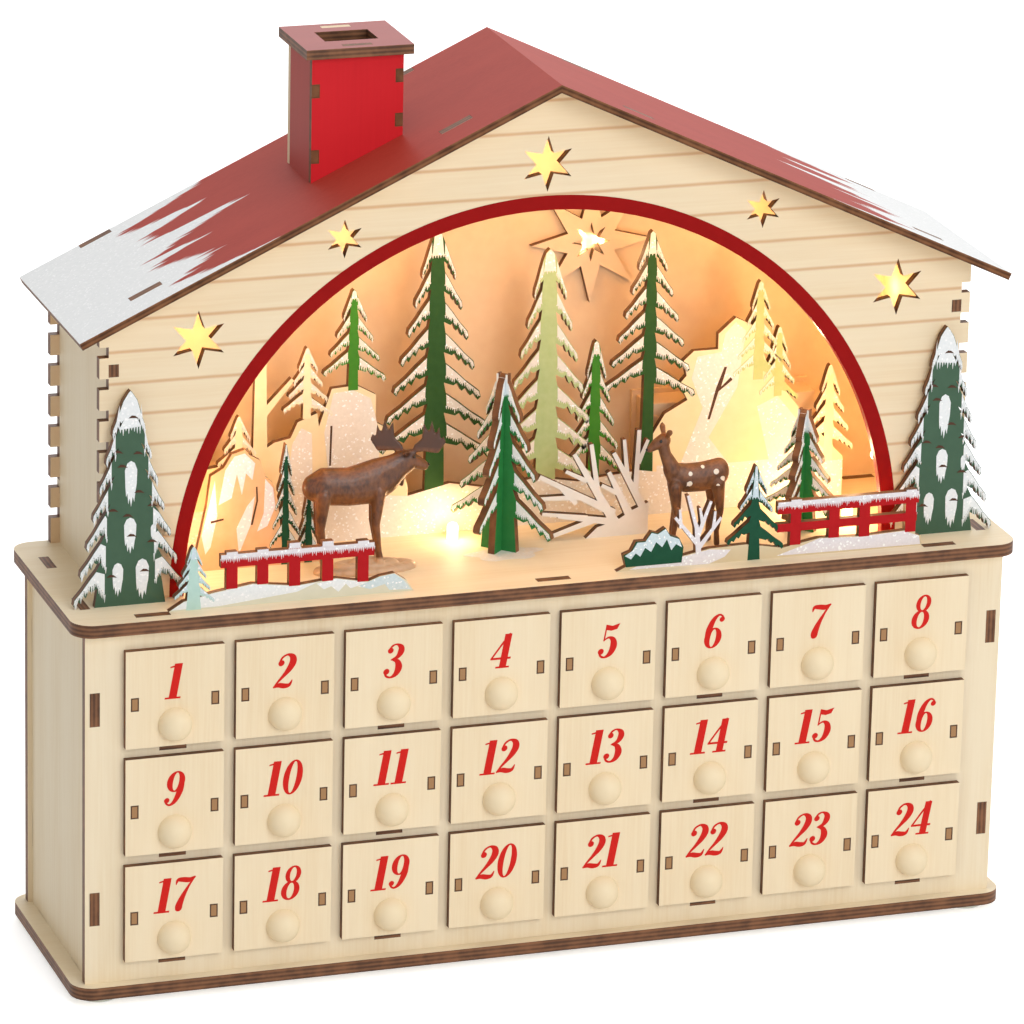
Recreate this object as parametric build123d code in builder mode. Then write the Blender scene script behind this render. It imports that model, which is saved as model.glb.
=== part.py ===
"""Wooden advent calendar: a plywood cabinet of 24 drawers under a lit winter cottage."""
import os
from math import cos, hypot, pi, radians, sin

from build123d import *

os.makedirs("parts", exist_ok=True)

# Sheet stock and fits, in millimetres
board_thick = 5.3
wall_thick = 4.0
ply_thick = 3.0
drawer_ply = 2.6
fit_gap = 0.1
run_gap = 0.5
overrun = 1.0

# Cabinet
cab_margin = 13.4
cab_head = 2.9
overhang = 5.2
corner_round = 9.0
side_inset = 2.0
tab_long = 14.0
tab_edge = 28.0
side_tab_edge = 31.9
side_tab_inset = 21.65
foot_wide = 16.0
foot_high = 3.0
foot_inset = 12.5
foot_edge = 0.6

# Drawers, shelves and dividers
columns = 8
rows = 3
front_wide = 40.55
front_high = 41.0
front_gap_wide = 4.85
front_gap_high = 4.5
front_lap = 0.3
front_lap_side = 2.475
front_lap_top = 4.1
box_deep = 85.0
drawer_rear_gap = 6.3
mortise_high = 5.0
knob_wide = 13.8
knob_drop = 11.5
shelf_low = 9.2
shelf_tab_long = 11.0
shelf_tab_columns = (0, 2, 5, 7)

# Cottage
house_setback = 20.4
house_inset = 16.4
log_end = 3.8
log_pitch = 12.95
log_notch = 4.4
leg_wide = 34.8
leg_tab_inset = 15.8
wall_mortise_high = 5.0
wall_mortise_low = 24.0
wall_mortise_drop = 16.6
gable_rise = 55.1
roof_fall = 91.5
eave_over = 11.8
roof_lap = 14.5
roof_tab_long = 14.0
roof_tab_inset = 20.3
roof_tab_top = 37.0

# Star cut-outs of the gable: how far each lies inside the arch's width and below its top, its radius,
# and how far the four side stars stand to the right of an even spread
star_mid_clear = 19.1
star_mid_round = 11.5
star_high_in = 61.0
star_high_drop = 5.9
star_high_round = 8.0
star_low_in = 1.5
star_low_drop = 42.9
star_low_round = 12.0
star_shift = 4.0
star_points = 6
star_waist_share = 0.42

# Chimney
chimney_wide = 37.8
chimney_deep = 32.5
chimney_out = 73.4
chimney_setback = 40.0
chimney_over_ridge = 8.0
chimney_mortise = 5.0
chimney_tab_shares = (0.27, 0.8)
cap_thick = 4.0
cap_over = 3.2
cap_hole_wide = 22.0
cap_hole_deep = 15.0
cap_tab_long = 12.0

# Scenery plates: distance of each front face behind the cabinet front, then sizes
front_plate_back = 3.4
corner_fir_back = 15.5
rock_back = 47.0
thicket_back = 46.0
forest_back = 69.0
forest_over = 2.0
forest_high = 131.0
forest_stem = 4.2
left_plate_wide = 101.5
left_plate_high = 26.5
left_plate_mid = 109.2
right_plate_wide = 132.5
right_plate_high = 40.5
right_plate_mid = 93.8
corner_fir_high = 89.0
corner_fir_reach = 23.2
corner_fir_stem = 14.5
corner_fir_inset = 11.3
rock_wide = 54.0
rock_high = 50.0
rock_mid = 111.0
thicket_wide = 49.0
thicket_high = 45.0
thicket_mid = 31.5
middle_fir_high = 75.0
middle_fir_reach = 23.7
middle_fir_stem = 8.0
middle_fir_mid = 9.0
middle_fir_back = 43.0
right_fir_high = 52.0
right_fir_reach = 18.0
right_fir_stem = 6.5
right_fir_mid = 119.0
right_fir_back = 35.0
post_wide = 4.6
rail_high = 3.2
twig_thick = 2.9
shrub_thick = 2.4
cross_core_wall = 0.9
big_star_round = 26.0
big_star_hole = 8.5
big_star_mid = 44.9
big_star_rise = 112.0
big_star_points = 8

# Figures
moose_high = 61.0
moose_mid = 70.0
moose_back = 32.0
antler_thick = 1.4
stand_angle = 20
fawn_high = 51.5
fawn_mid = 66.0
fawn_back = 27.0

# Lights and battery case
led_wide = 4.6
led_long = 7.0
led_set = 3.2
led_tip_share = 0.4
led_angles = (12, 34, 57, 80, 103, 126, 149, 168)
led_floor_shares = ((-0.16, 0.63), (0.82, 0.60), (0.95, 0.42))
switch_bay = 14.0
case_wall = 3.0
case_mid = 104.0
case_raise = 7.0
case_flange = 2.0
contact_room = 2.7
cell_room = 1.3
cell_cover_gap = 2.2
pocket_floor = 1.6
pocket_side = 4.0
cover_thick = 2.0
cover_lap = 1.2
cover_gap = 0.3
finger_round = 5.0
cell_round = 7.1
cell_long = 49.2
nub_round = 2.75
nub_long = 1.4
contact_thick = 0.5
contact_wide = 9.0
switch_wide = 4.4
switch_high = 5.0
switch_travel = 4.0

# Sizes that follow from the pieces they hold
column_pitch = front_wide + front_gap_wide
row_pitch = front_high + front_gap_high
box_wide = front_wide - 2 * front_lap_side
box_high = front_high - front_lap - front_lap_top
cab_wide = columns * column_pitch + 2 * cab_margin
cab_deep = box_deep + drawer_rear_gap + wall_thick
cab_high = shelf_low + rows * row_pitch + cab_head
tab_pitch = cab_wide / 2 - tab_edge
side_tab_rise = cab_high / 2 - side_tab_edge
side_tab_spread = cab_deep / 2 - side_tab_inset
house_wide = cab_wide + 2 * overhang - 2 * house_inset
arch_round = house_wide / 2 - leg_wide
leg_tab_out = house_wide / 2 - leg_tab_inset
ridge_rise = arch_round + gable_rise
eave_rise = ridge_rise - roof_fall
eave_reach = house_wide / 2 + eave_over
wall_mortise_top = eave_rise - wall_mortise_drop
roof_tab_low = house_wide / 2 - roof_tab_inset
star_mid_rise = arch_round + star_mid_clear
star_high_out = arch_round - star_high_in
star_high_rise = arch_round - star_high_drop
star_low_out = arch_round - star_low_in
star_low_rise = arch_round - star_low_drop
forest_wide = 2 * arch_round + forest_over
corner_fir_out = house_wide / 2 - corner_fir_inset
pocket_wide = cell_long + nub_long + 2 * contact_room
pocket_high = 4 * cell_round + 2 * cell_room
case_wide = pocket_wide + pocket_side + switch_bay
case_high = pocket_high + 2 * case_wall
case_deep = pocket_floor + 2 * cell_round + cell_cover_gap + cover_thick

# Frame: the floor is z = 0 and the plan's centre is the origin
knob_proud = knob_wide / 2
front_reach = ply_thick + knob_proud
front_y = (front_reach - cab_deep - overhang) / 2
back_y = front_y + cab_deep
board_front_y = front_y - overhang
board_back_y = back_y + overhang
board_mid_y = (board_front_y + board_back_y) / 2
board_wide = cab_wide + 2 * overhang
board_deep = cab_deep + 2 * overhang
cab_low_z = foot_high + board_thick
cab_top_z = cab_low_z + cab_high
cab_mid_z = (cab_low_z + cab_top_z) / 2
cab_mid_y = (front_y + back_y) / 2
cab_inner_deep = cab_deep - 2 * wall_thick
scene_z = cab_top_z + board_thick
side_x = cab_wide / 2 - side_inset - wall_thick / 2
house_front_y = front_y + house_setback
house_back_y = board_back_y - wall_thick
house_inner_y = house_front_y + wall_thick
wall_x = house_wide / 2 - log_end - wall_thick / 2
roof_slope = (ridge_rise - eave_rise) / eave_reach
roof_tilt = hypot(1, roof_slope)
roof_drop = ply_thick * roof_tilt
ridge_z = scene_z + ridge_rise


def save(piece, name):
    """Name a finished piece and write it as a node of its own."""
    piece.label = name
    export_step(piece, f"parts/{name}.step")


def save_group(pieces, name):
    """Write several separate solids as one named node."""
    save(Compound(label=name, children=pieces), name)


def upright(y):
    """Plane of a panel's front face: its own x is across and its own y is up."""
    return Plane.XZ.offset(-y)


def column_x(column):
    """Centre of a column of drawers."""
    return (column - (columns - 1) / 2) * column_pitch


def shelf_z(row):
    """Upper face of the shelf that carries a row of drawers, the top row being row 0."""
    return cab_low_z + shelf_low + (rows - 1 - row) * row_pitch


def roof_z(x):
    """Height of the roof's upper face at a distance from the ridge."""
    return ridge_z - roof_slope * abs(x)


def scaled(shares, wide, high):
    """Points of an outline from shares of its width and height."""
    return [(x * wide, z * high) for x, z in shares]


# Base board and top board, with slots for the tabs of the panels that stand on or under them
def cabinet_slots():
    """Centres of the slots for the cabinet's front and back panels."""
    front_row = front_y + wall_thick / 2
    back_row = back_y - wall_thick / 2
    return [(x, y) for y in (front_row, back_row) for x in (-tab_pitch, 0, tab_pitch)]


def side_slots():
    """Centres of the slots for the cabinet's two side panels."""
    return [(x, cab_mid_y + y) for x in (-side_x, side_x) for y in (-side_tab_spread, side_tab_spread)]


def house_slots():
    """Centres of the slots for the cottage's front and back."""
    front_row = house_front_y + wall_thick / 2
    back_row = house_back_y + wall_thick / 2
    return [(x, y) for y in (front_row, back_row) for x in (-leg_tab_out, leg_tab_out)]


slot_long = tab_long + 2 * fit_gap
slot_wide = wall_thick + 2 * fit_gap

with BuildPart() as base_board:
    with BuildSketch(Plane.XY.offset(foot_high)):
        with Locations((0, board_mid_y)):
            RectangleRounded(board_wide, board_deep, corner_round)
        with Locations(*cabinet_slots()):
            Rectangle(slot_long, slot_wide, mode=Mode.SUBTRACT)
        with Locations(*side_slots()):
            Rectangle(slot_wide, slot_long, mode=Mode.SUBTRACT)
    extrude(amount=board_thick)
save(base_board.part, "base_board")

with BuildPart() as top_board:
    with BuildSketch(Plane.XY.offset(cab_top_z)):
        with Locations((0, board_mid_y)):
            RectangleRounded(board_wide, board_deep, corner_round)
        with Locations(*cabinet_slots(), *house_slots()):
            Rectangle(slot_long, slot_wide, mode=Mode.SUBTRACT)
        with Locations(*side_slots()):
            Rectangle(slot_wide, slot_long, mode=Mode.SUBTRACT)
    extrude(amount=board_thick)
save(top_board.part, "top_board")

feet = []
for foot_sign in (-1, 1):
    for foot_y in (board_front_y + foot_inset, board_back_y - foot_inset):
        with BuildPart() as foot:
            with BuildSketch():
                with Locations((foot_sign * (board_wide / 2 - foot_inset), foot_y)):
                    Circle(foot_wide / 2)
            extrude(amount=foot_high)
            fillet(foot.edges().group_by(Axis.Z)[0], foot_edge)
        feet.append(foot.part)
save_group(feet, "rubber_feet")


# Cabinet panels
def panel_tabs():
    """Centres of a panel's tabs into the boards above and below it."""
    levels = (cab_low_z - board_thick / 2, cab_top_z + board_thick / 2)
    return [(x, z) for z in levels for x in (-tab_pitch, 0, tab_pitch)]


def side_mortises():
    """Centres of a panel's slots for the tabs of the side panels."""
    return [(x, cab_mid_z + z) for x in (-side_x, side_x) for z in (-side_tab_rise, side_tab_rise)]


def shelf_mortises():
    """Centres of a panel's slots for the tabs of the shelves."""
    shelf_mid = [shelf_z(row) - ply_thick / 2 for row in range(rows)]
    return [(column_x(column), z) for z in shelf_mid for column in shelf_tab_columns]


window_wide = box_wide + 2 * run_gap
window_high = box_high + run_gap + fit_gap
window_mid_z = shelf_z((rows - 1) / 2) - fit_gap + window_high / 2


def cabinet_panel(y, windows):
    """A panel of the cabinet, with or without the windows that the drawers pass through."""
    with BuildPart() as panel:
        with BuildSketch(upright(y)):
            with Locations((0, cab_mid_z)):
                Rectangle(cab_wide, cab_high)
            with Locations(*panel_tabs()):
                Rectangle(tab_long, board_thick)
            with Locations(*side_mortises()):
                Rectangle(slot_wide, slot_long, mode=Mode.SUBTRACT)
            with Locations(*shelf_mortises()):
                Rectangle(shelf_tab_long + 2 * fit_gap, ply_thick + 2 * fit_gap, mode=Mode.SUBTRACT)
            if windows:
                with Locations((0, window_mid_z)):
                    with GridLocations(column_pitch, row_pitch, columns, rows):
                        Rectangle(window_wide, window_high, mode=Mode.SUBTRACT)
        extrude(amount=-wall_thick)
    return panel.part


save(cabinet_panel(front_y, True), "cabinet_front")
save(cabinet_panel(back_y - wall_thick, False), "cabinet_back")

for side_name, side_sign in (("left", -1), ("right", 1)):
    with BuildPart() as cabinet_side:
        with BuildSketch(Plane.YZ.offset(side_sign * side_x - wall_thick / 2)):
            with Locations((cab_mid_y, cab_mid_z)):
                Rectangle(cab_inner_deep, cab_high)
                with Locations((0, -side_tab_rise), (0, side_tab_rise)):
                    Rectangle(cab_deep, tab_long)
                with Locations((-side_tab_spread, 0), (side_tab_spread, 0)):
                    Rectangle(tab_long, cab_high + 2 * board_thick)
        extrude(amount=wall_thick)
    save(cabinet_side.part, f"cabinet_{side_name}_side")

# Egg-crate of shelves and dividers: each is notched to half its depth where they cross
inner_wide = 2 * side_x - wall_thick
notch_wide = ply_thick + 2 * fit_gap
notch_deep = cab_inner_deep / 2 + fit_gap
divider_x = [column_x(column) + column_pitch / 2 for column in range(columns - 1)]

shelves = []
for row in range(rows):
    with BuildPart() as shelf:
        with BuildSketch(Plane.XY.offset(shelf_z(row) - ply_thick)):
            with Locations((0, cab_mid_y)):
                Rectangle(inner_wide, cab_inner_deep)
                with Locations(*[(column_x(column), 0) for column in shelf_tab_columns]):
                    Rectangle(shelf_tab_long, cab_deep)
            with Locations(*[(x, back_y - wall_thick - notch_deep / 2) for x in divider_x]):
                Rectangle(notch_wide, notch_deep, mode=Mode.SUBTRACT)
        extrude(amount=ply_thick)
    shelves.append(shelf.part)
save_group(shelves, "drawer_shelves")

dividers = []
for x in divider_x:
    with BuildPart() as divider:
        with BuildSketch(Plane.YZ.offset(x - ply_thick / 2)):
            with Locations((cab_mid_y, cab_mid_z)):
                Rectangle(cab_inner_deep, cab_high)
            notch_mid_y = front_y + wall_thick + notch_deep / 2
            with Locations(*[(notch_mid_y, shelf_z(row) - ply_thick / 2) for row in range(rows)]):
                Rectangle(notch_deep, notch_wide, mode=Mode.SUBTRACT)
        extrude(amount=ply_thick)
    dividers.append(divider.part)
save_group(dividers, "drawer_dividers")

# Drawer: one set of pieces, its box standing on z = 0 at x = 0
side_out = box_wide / 2 - drawer_ply / 2
front_mid_z = front_high / 2 - front_lap
box_inner = box_wide - 2 * drawer_ply

with BuildPart() as drawer_front:
    with BuildSketch(upright(front_y - ply_thick)):
        with Locations((0, front_mid_z)):
            Rectangle(front_wide, front_high)
        with Locations((-side_out, box_high / 2), (side_out, box_high / 2)):
            Rectangle(drawer_ply + 2 * fit_gap, mortise_high + 2 * fit_gap, mode=Mode.SUBTRACT)
    extrude(amount=-ply_thick)

drawer_sides = []
for side_sign in (-1, 1):
    with BuildPart() as drawer_side:
        with BuildSketch(Plane.YZ.offset(side_sign * side_out - drawer_ply / 2)):
            with Locations((front_y + box_deep / 2, box_high / 2)):
                Rectangle(box_deep, box_high)
            with Locations((front_y - ply_thick / 2, box_high / 2)):
                Rectangle(ply_thick, mortise_high)
        extrude(amount=drawer_ply)
    drawer_sides.append(drawer_side.part)

with BuildPart() as drawer_back:
    with BuildSketch(upright(front_y + box_deep - drawer_ply)):
        with Locations((0, box_high / 2)):
            Rectangle(box_inner, box_high)
    extrude(amount=-drawer_ply)

with BuildPart() as drawer_floor:
    with BuildSketch():
        with Locations((0, front_y + (box_deep - drawer_ply) / 2)):
            Rectangle(box_inner, box_deep - drawer_ply)
    extrude(amount=drawer_ply)

knob_seat = (front_y - ply_thick, front_mid_z - knob_drop)
with BuildPart() as drawer_knob:
    with BuildSketch(Plane.YZ):
        with BuildLine():
            dome = CenterArc(knob_seat, knob_proud, 90, 90)
            Line(dome @ 1, knob_seat)
            Line(knob_seat, dome @ 0)
        make_face()
    revolve(axis=Axis((0, *knob_seat), (0, 1, 0)))

drawer_pieces = [drawer_front.part, *drawer_sides, drawer_back.part, drawer_floor.part, drawer_knob.part]
for number in range(1, rows * columns + 1):
    row, column = divmod(number - 1, columns)
    place = Location((column_x(column), 0, shelf_z(row)))
    save_group([piece.moved(place) for piece in drawer_pieces], f"drawer_{number:02d}")


# Cottage walls
def star(points, outer, waist):
    """Points of a star with its first tip up."""
    turns = [pi / 2 + pi * tip / points for tip in range(2 * points)]
    rounds = [outer if tip % 2 == 0 else waist for tip in range(2 * points)]
    return [(r * cos(turn), r * sin(turn)) for r, turn in zip(rounds, turns)]


def roof_tab(distance, gap):
    """Outline of a tab through the roof, at a distance from the ridge, square to the slope."""
    sign = 1 if distance > 0 else -1
    along = (sign / roof_tilt, -roof_slope / roof_tilt)
    out = (sign * roof_slope / roof_tilt, 1 / roof_tilt)
    half = roof_tab_long / 2 + gap
    deep = ply_thick + (overrun if gap else 0)
    low_z = roof_z(distance) - roof_drop
    corners = ((-half, -gap), (half, -gap), (half, deep), (-half, deep))
    return [(distance + a * along[0] + b * out[0], low_z + a * along[1] + b * out[1]) for a, b in corners]


gable_stars = [(0, star_mid_rise, star_mid_round)]
for side in (-1, 1):
    gable_stars.append((star_shift + side * star_high_out, star_high_rise, star_high_round))
    gable_stars.append((star_shift + side * star_low_out, star_low_rise, star_low_round))
roof_tabs = [side * place for side in (-1, 1) for place in (roof_tab_low, roof_tab_top)]
wall_mortises = [
    (x, scene_z + z) for x in (-wall_x, wall_x) for z in (wall_mortise_low, wall_mortise_top)
]


def gable_panel(y, front):
    """The cottage's front or back: a gable with log ends down its sides and tabs all round."""
    half = house_wide / 2
    corner_z = roof_z(half) - roof_drop
    peak = (0, ridge_z - roof_drop)
    gable = [(-half, scene_z), (half, scene_z), (half, corner_z), peak, (-half, corner_z)]
    leg_tab_z = scene_z - board_thick / 2
    notches = int((corner_z - scene_z) / log_pitch)
    notch_levels = [scene_z + log_pitch * level for level in range(1, notches + 1)]
    with BuildPart() as panel:
        with BuildSketch(upright(y)):
            Polygon(*gable, align=None)
            for tab in roof_tabs:
                Polygon(*roof_tab(tab, 0), align=None)
            with Locations(*[(side * (half - log_end / 2), z) for side in (-1, 1) for z in notch_levels]):
                Rectangle(log_end, log_notch, mode=Mode.SUBTRACT)
            with Locations((-leg_tab_out, leg_tab_z), (leg_tab_out, leg_tab_z)):
                Rectangle(tab_long, board_thick)
            with Locations(*wall_mortises):
                Rectangle(slot_wide, wall_mortise_high + 2 * fit_gap, mode=Mode.SUBTRACT)
            if front:
                with BuildLine():
                    arch = CenterArc((0, scene_z), arch_round, 0, 180)
                    Line(arch @ 1, arch @ 0)
                make_face(mode=Mode.SUBTRACT)
                for x, rise, size in gable_stars:
                    window = star(star_points, size, size * star_waist_share)
                    with Locations((x, scene_z + rise)):
                        Polygon(*window, align=None, mode=Mode.SUBTRACT)
            else:
                with Locations((case_mid, scene_z + case_raise + case_high / 2)):
                    Rectangle(case_wide + 2 * fit_gap, case_high + 2 * fit_gap, mode=Mode.SUBTRACT)
        extrude(amount=-wall_thick)
    return panel.part


save(gable_panel(house_front_y, True), "house_front")
save(gable_panel(house_back_y, False), "house_back")

for side_name, side_sign in (("left", -1), ("right", 1)):
    inner_x = wall_x - wall_thick / 2
    outer_x = wall_x + wall_thick / 2
    wall_section = [
        (side_sign * inner_x, scene_z),
        (side_sign * outer_x, scene_z),
        (side_sign * outer_x, roof_z(outer_x) - roof_drop),
        (side_sign * inner_x, roof_z(inner_x) - roof_drop),
    ]
    with BuildPart() as house_wall:
        with BuildSketch(upright(house_inner_y)):
            Polygon(*wall_section, align=None)
        extrude(amount=house_inner_y - house_back_y)
        with BuildSketch(upright(house_front_y)):
            with Locations(*[(x, z) for x, z in wall_mortises if x * side_sign > 0]):
                Rectangle(wall_thick, wall_mortise_high)
        extrude(amount=house_front_y - board_back_y)
    save(house_wall.part, f"house_{side_name}_wall")

# Roof: two panels that meet on a plumb joint at the ridge
for side_name, side_sign in (("left", -1), ("right", 1)):
    under_x = eave_reach - ply_thick * roof_slope / roof_tilt
    roof_section = [
        (0, ridge_z),
        (side_sign * eave_reach, roof_z(eave_reach)),
        (side_sign * under_x, roof_z(eave_reach) - ply_thick / roof_tilt),
        (0, ridge_z - roof_drop),
    ]
    with BuildPart() as roof:
        with BuildSketch(upright(house_front_y - roof_lap)):
            Polygon(*roof_section, align=None)
        extrude(amount=house_front_y - roof_lap - board_back_y)
        for slot_y in (house_front_y - fit_gap, house_back_y - fit_gap):
            with BuildSketch(upright(slot_y)):
                for tab in roof_tabs:
                    if tab * side_sign > 0:
                        Polygon(*roof_tab(tab, fit_gap), align=None)
            extrude(amount=-wall_thick - 2 * fit_gap, mode=Mode.SUBTRACT)
    save(roof.part, f"roof_{side_name}")

# Chimney: a front and a back with the sides tabbed between them, scribed to the left slope
chimney_left = -chimney_out - chimney_wide / 2
chimney_right = -chimney_out + chimney_wide / 2
chimney_front_y = front_y + chimney_setback
chimney_back_y = chimney_front_y + chimney_deep
chimney_top_z = ridge_z + chimney_over_ridge
chimney_side_x = (chimney_left + ply_thick / 2, chimney_right - ply_thick / 2)


def chimney_tab_levels(x):
    """Heights of the two tabs of the chimney side at x."""
    return [chimney_top_z - (chimney_top_z - roof_z(x)) * share for share in chimney_tab_shares]


chimney_face = [
    (chimney_left, roof_z(chimney_left)),
    (chimney_right, roof_z(chimney_right)),
    (chimney_right, chimney_top_z),
    (chimney_left, chimney_top_z),
]
chimney_walls = []
for face_y in (chimney_front_y, chimney_back_y - ply_thick):
    with BuildPart() as chimney_plate:
        with BuildSketch(upright(face_y)):
            Polygon(*chimney_face, align=None)
            with Locations((-chimney_out, chimney_top_z + cap_thick / 2)):
                Rectangle(cap_tab_long, cap_thick)
            with Locations(*[(x, z) for x in chimney_side_x for z in chimney_tab_levels(x)]):
                Rectangle(ply_thick + 2 * fit_gap, chimney_mortise + 2 * fit_gap, mode=Mode.SUBTRACT)
        extrude(amount=-ply_thick)
    chimney_walls.append(chimney_plate.part)
for x in chimney_side_x:
    side_section = [
        (x - ply_thick / 2, roof_z(x - ply_thick / 2)),
        (x + ply_thick / 2, roof_z(x + ply_thick / 2)),
        (x + ply_thick / 2, chimney_top_z),
        (x - ply_thick / 2, chimney_top_z),
    ]
    with BuildPart() as chimney_side:
        with BuildSketch(upright(chimney_front_y + ply_thick)):
            Polygon(*side_section, align=None)
        extrude(amount=2 * ply_thick - chimney_deep)
        with BuildSketch(upright(chimney_front_y)):
            with Locations(*[(x, z) for z in chimney_tab_levels(x)]):
                Rectangle(ply_thick, chimney_mortise)
        extrude(amount=-chimney_deep)
    chimney_walls.append(chimney_side.part)
save_group(chimney_walls, "chimney_walls")

with BuildPart() as chimney_cap:
    with BuildSketch(Plane.XY.offset(chimney_top_z)):
        with Locations((-chimney_out, (chimney_front_y + chimney_back_y) / 2)):
            Rectangle(chimney_wide + 2 * cap_over, chimney_deep + 2 * cap_over)
            Rectangle(cap_hole_wide, cap_hole_deep, mode=Mode.SUBTRACT)
        cap_rows = (chimney_front_y + ply_thick / 2, chimney_back_y - ply_thick / 2)
        with Locations(*[(-chimney_out, y) for y in cap_rows]):
            Rectangle(cap_tab_long + 2 * fit_gap, ply_thick + 2 * fit_gap, mode=Mode.SUBTRACT)
    extrude(amount=cap_thick)
save(chimney_cap.part, "chimney_cap")

# Firs: every bough droops from the stem to a blunt tip, with teeth along its lower edge
bough_tooth_shares = (
    (0.26, -0.12), (0.36, -0.04), (0.48, -0.32), (0.58, -0.22), (0.71, -0.50), (0.80, -0.42), (0.92, -0.66),
)
bough_back_shares = ((1.00, -0.56), (0.96, -0.36), (0.64, -0.04), (0.34, 0.32), (0.04, 0.64))
bough_shares = bough_tooth_shares + bough_back_shares
bough_fall_share = 0.80
stem_fall_share = 0.75
stem_tip_share = 0.7
left_lag_share = 0.42


def fir_side(high, reach, tiers, stem, crown_share, fall_share, lag):
    """One side of a fir from its foot to below its top, as distances from the stem's middle."""
    crown = high * crown_share
    step = (high - crown) / (tiers + lag)
    points = [(stem, 0)]
    for tier in range(tiers):
        level = crown + step * (tier + lag)
        here = stem * (1 - fall_share * level / high)
        length = reach * (1 - bough_fall_share * (tier + lag) / tiers)
        points.append((here, level))
        points += [(here + (length - here) * out, level + step * up) for out, up in bough_shares]
    return points


def fir(high, reach, tiers, stem, crown_share, fall_share=stem_fall_share):
    """Closed outline of a fir at the origin, blunt at its top, its left boughs between its right ones."""
    right = fir_side(high, reach, tiers, stem, crown_share, fall_share, 0)
    left = fir_side(high, reach, tiers, stem, crown_share, fall_share, left_lag_share)
    tip = stem * (1 - fall_share) * stem_tip_share
    top = [(tip, high - tip), (0, high), (-tip, high - tip)]
    return [*right, *top, *[(-x, z) for x, z in reversed(left)]]


def stick(start, end, wide_start, wide_end):
    """Outline of a tapering twig between two points."""
    run = (end[0] - start[0], end[1] - start[1])
    long = hypot(*run)
    across = (-run[1] / long / 2, run[0] / long / 2)
    return [
        (start[0] + across[0] * wide_start, start[1] + across[1] * wide_start),
        (start[0] - across[0] * wide_start, start[1] - across[1] * wide_start),
        (end[0] - across[0] * wide_end, end[1] - across[1] * wide_end),
        (end[0] + across[0] * wide_end, end[1] + across[1] * wide_end),
    ]


def twig_pair(shares, wide, high, thick):
    """Outlines of the twigs of a thicket from shares of its width and height."""
    outlines = []
    for x0, z0, x1, z1, w0, w1 in shares:
        start = (x0 * wide, z0 * high)
        end = (x1 * wide, z1 * high)
        outlines.append(stick(start, end, w0 * thick, w1 * thick))
    return outlines


# Corner firs in front of the cottage's two corners
corner_fir_tiers = 7
corner_crown_share = 0.09
corner_fall_share = 0.93
for side_name, side_sign in (("left", -1), ("right", 1)):
    corner_outline = fir(
        corner_fir_high, corner_fir_reach, corner_fir_tiers, corner_fir_stem, corner_crown_share,
        corner_fall_share,
    )
    with BuildPart() as corner_fir:
        with BuildSketch(upright(front_y + corner_fir_back)):
            with Locations((side_sign * corner_fir_out, scene_z)):
                Polygon(*[(side_sign * x, z) for x, z in corner_outline], align=None)
        extrude(amount=-ply_thick)
    save(corner_fir.part, f"corner_fir_{side_name}")

# Crossed firs: two plates at right angles, each slotted to half its height for the other
cross_angle = 45
cross_tiers = 5
cross_crown_share = 0.2


def crossed_fir(x, back, high, reach, stem):
    """The two plates of a crossed fir, the top-slotted one with a core that holds its boughs together."""
    plates = []
    outline = fir(high, reach, cross_tiers, stem, cross_crown_share)
    slot = ply_thick + 2 * fit_gap
    slot_high = high / 2 + fit_gap
    core = slot + 2 * cross_core_wall
    for turn, slot_low in ((cross_angle, 0), (-cross_angle, high - slot_high)):
        along = (cos(radians(turn)), sin(radians(turn)), 0)
        normal = (sin(radians(turn)), -cos(radians(turn)), 0)
        with BuildPart() as plate:
            with BuildSketch(Plane(origin=(x, front_y + back, scene_z), x_dir=along, z_dir=normal)):
                Polygon(*outline, align=None)
                if slot_low > 0:
                    with Locations((0, high / 2)):
                        Rectangle(core, high)
                with Locations((0, slot_low + slot_high / 2)):
                    Rectangle(slot, slot_high, mode=Mode.SUBTRACT)
            extrude(amount=ply_thick / 2, both=True)
        plates.append(plate.part)
    return plates


middle_fir = crossed_fir(
    -middle_fir_mid, middle_fir_back, middle_fir_high, middle_fir_reach, middle_fir_stem
)
save_group(middle_fir, "middle_fir")
right_fir = crossed_fir(right_fir_mid, right_fir_back, right_fir_high, right_fir_reach, right_fir_stem)
save_group(right_fir, "right_fir")

# Rear forest: one sheet with snow ground, two crags and all the firs that stand on them
ground_shares = (
    (-1.0, 0), (1.0, 0), (1.0, 0.13), (0.55, 0.12), (0.40, 0.15), (0.22, 0.13),
    (0.10, 0.155), (-0.02, 0.13), (-0.15, 0.16), (-0.27, 0.13), (-0.45, 0.15), (-1.0, 0.13),
)
left_crag_shares = (
    (-1.0, 0), (-0.27, 0), (-0.27, 0.16), (-0.32, 0.35), (-0.365, 0.38), (-0.365, 0.47), (-0.42, 0.505),
    (-0.49, 0.50), (-0.525, 0.38), (-0.53, 0.425), (-0.585, 0.40), (-0.605, 0.35), (-0.65, 0.34),
    (-0.72, 0.29), (-0.84, 0.27), (-1.0, 0.16),
)
right_crag_shares = (
    (0.40, 0), (1.0, 0), (1.0, 0.14), (0.91, 0.25), (0.84, 0.35), (0.77, 0.46), (0.72, 0.60), (0.67, 0.63),
    (0.62, 0.58), (0.62, 0.53), (0.55, 0.53), (0.52, 0.50), (0.53, 0.45), (0.51, 0.425), (0.535, 0.37),
    (0.47, 0.33), (0.43, 0.255), (0.40, 0.14),
)
bare_tree_shares = ((-0.69, 0.25, -0.69, 0.60, 1.5, 1.1), (-0.685, 0.43, -0.60, 0.54, 0.8, 0.4))
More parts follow.
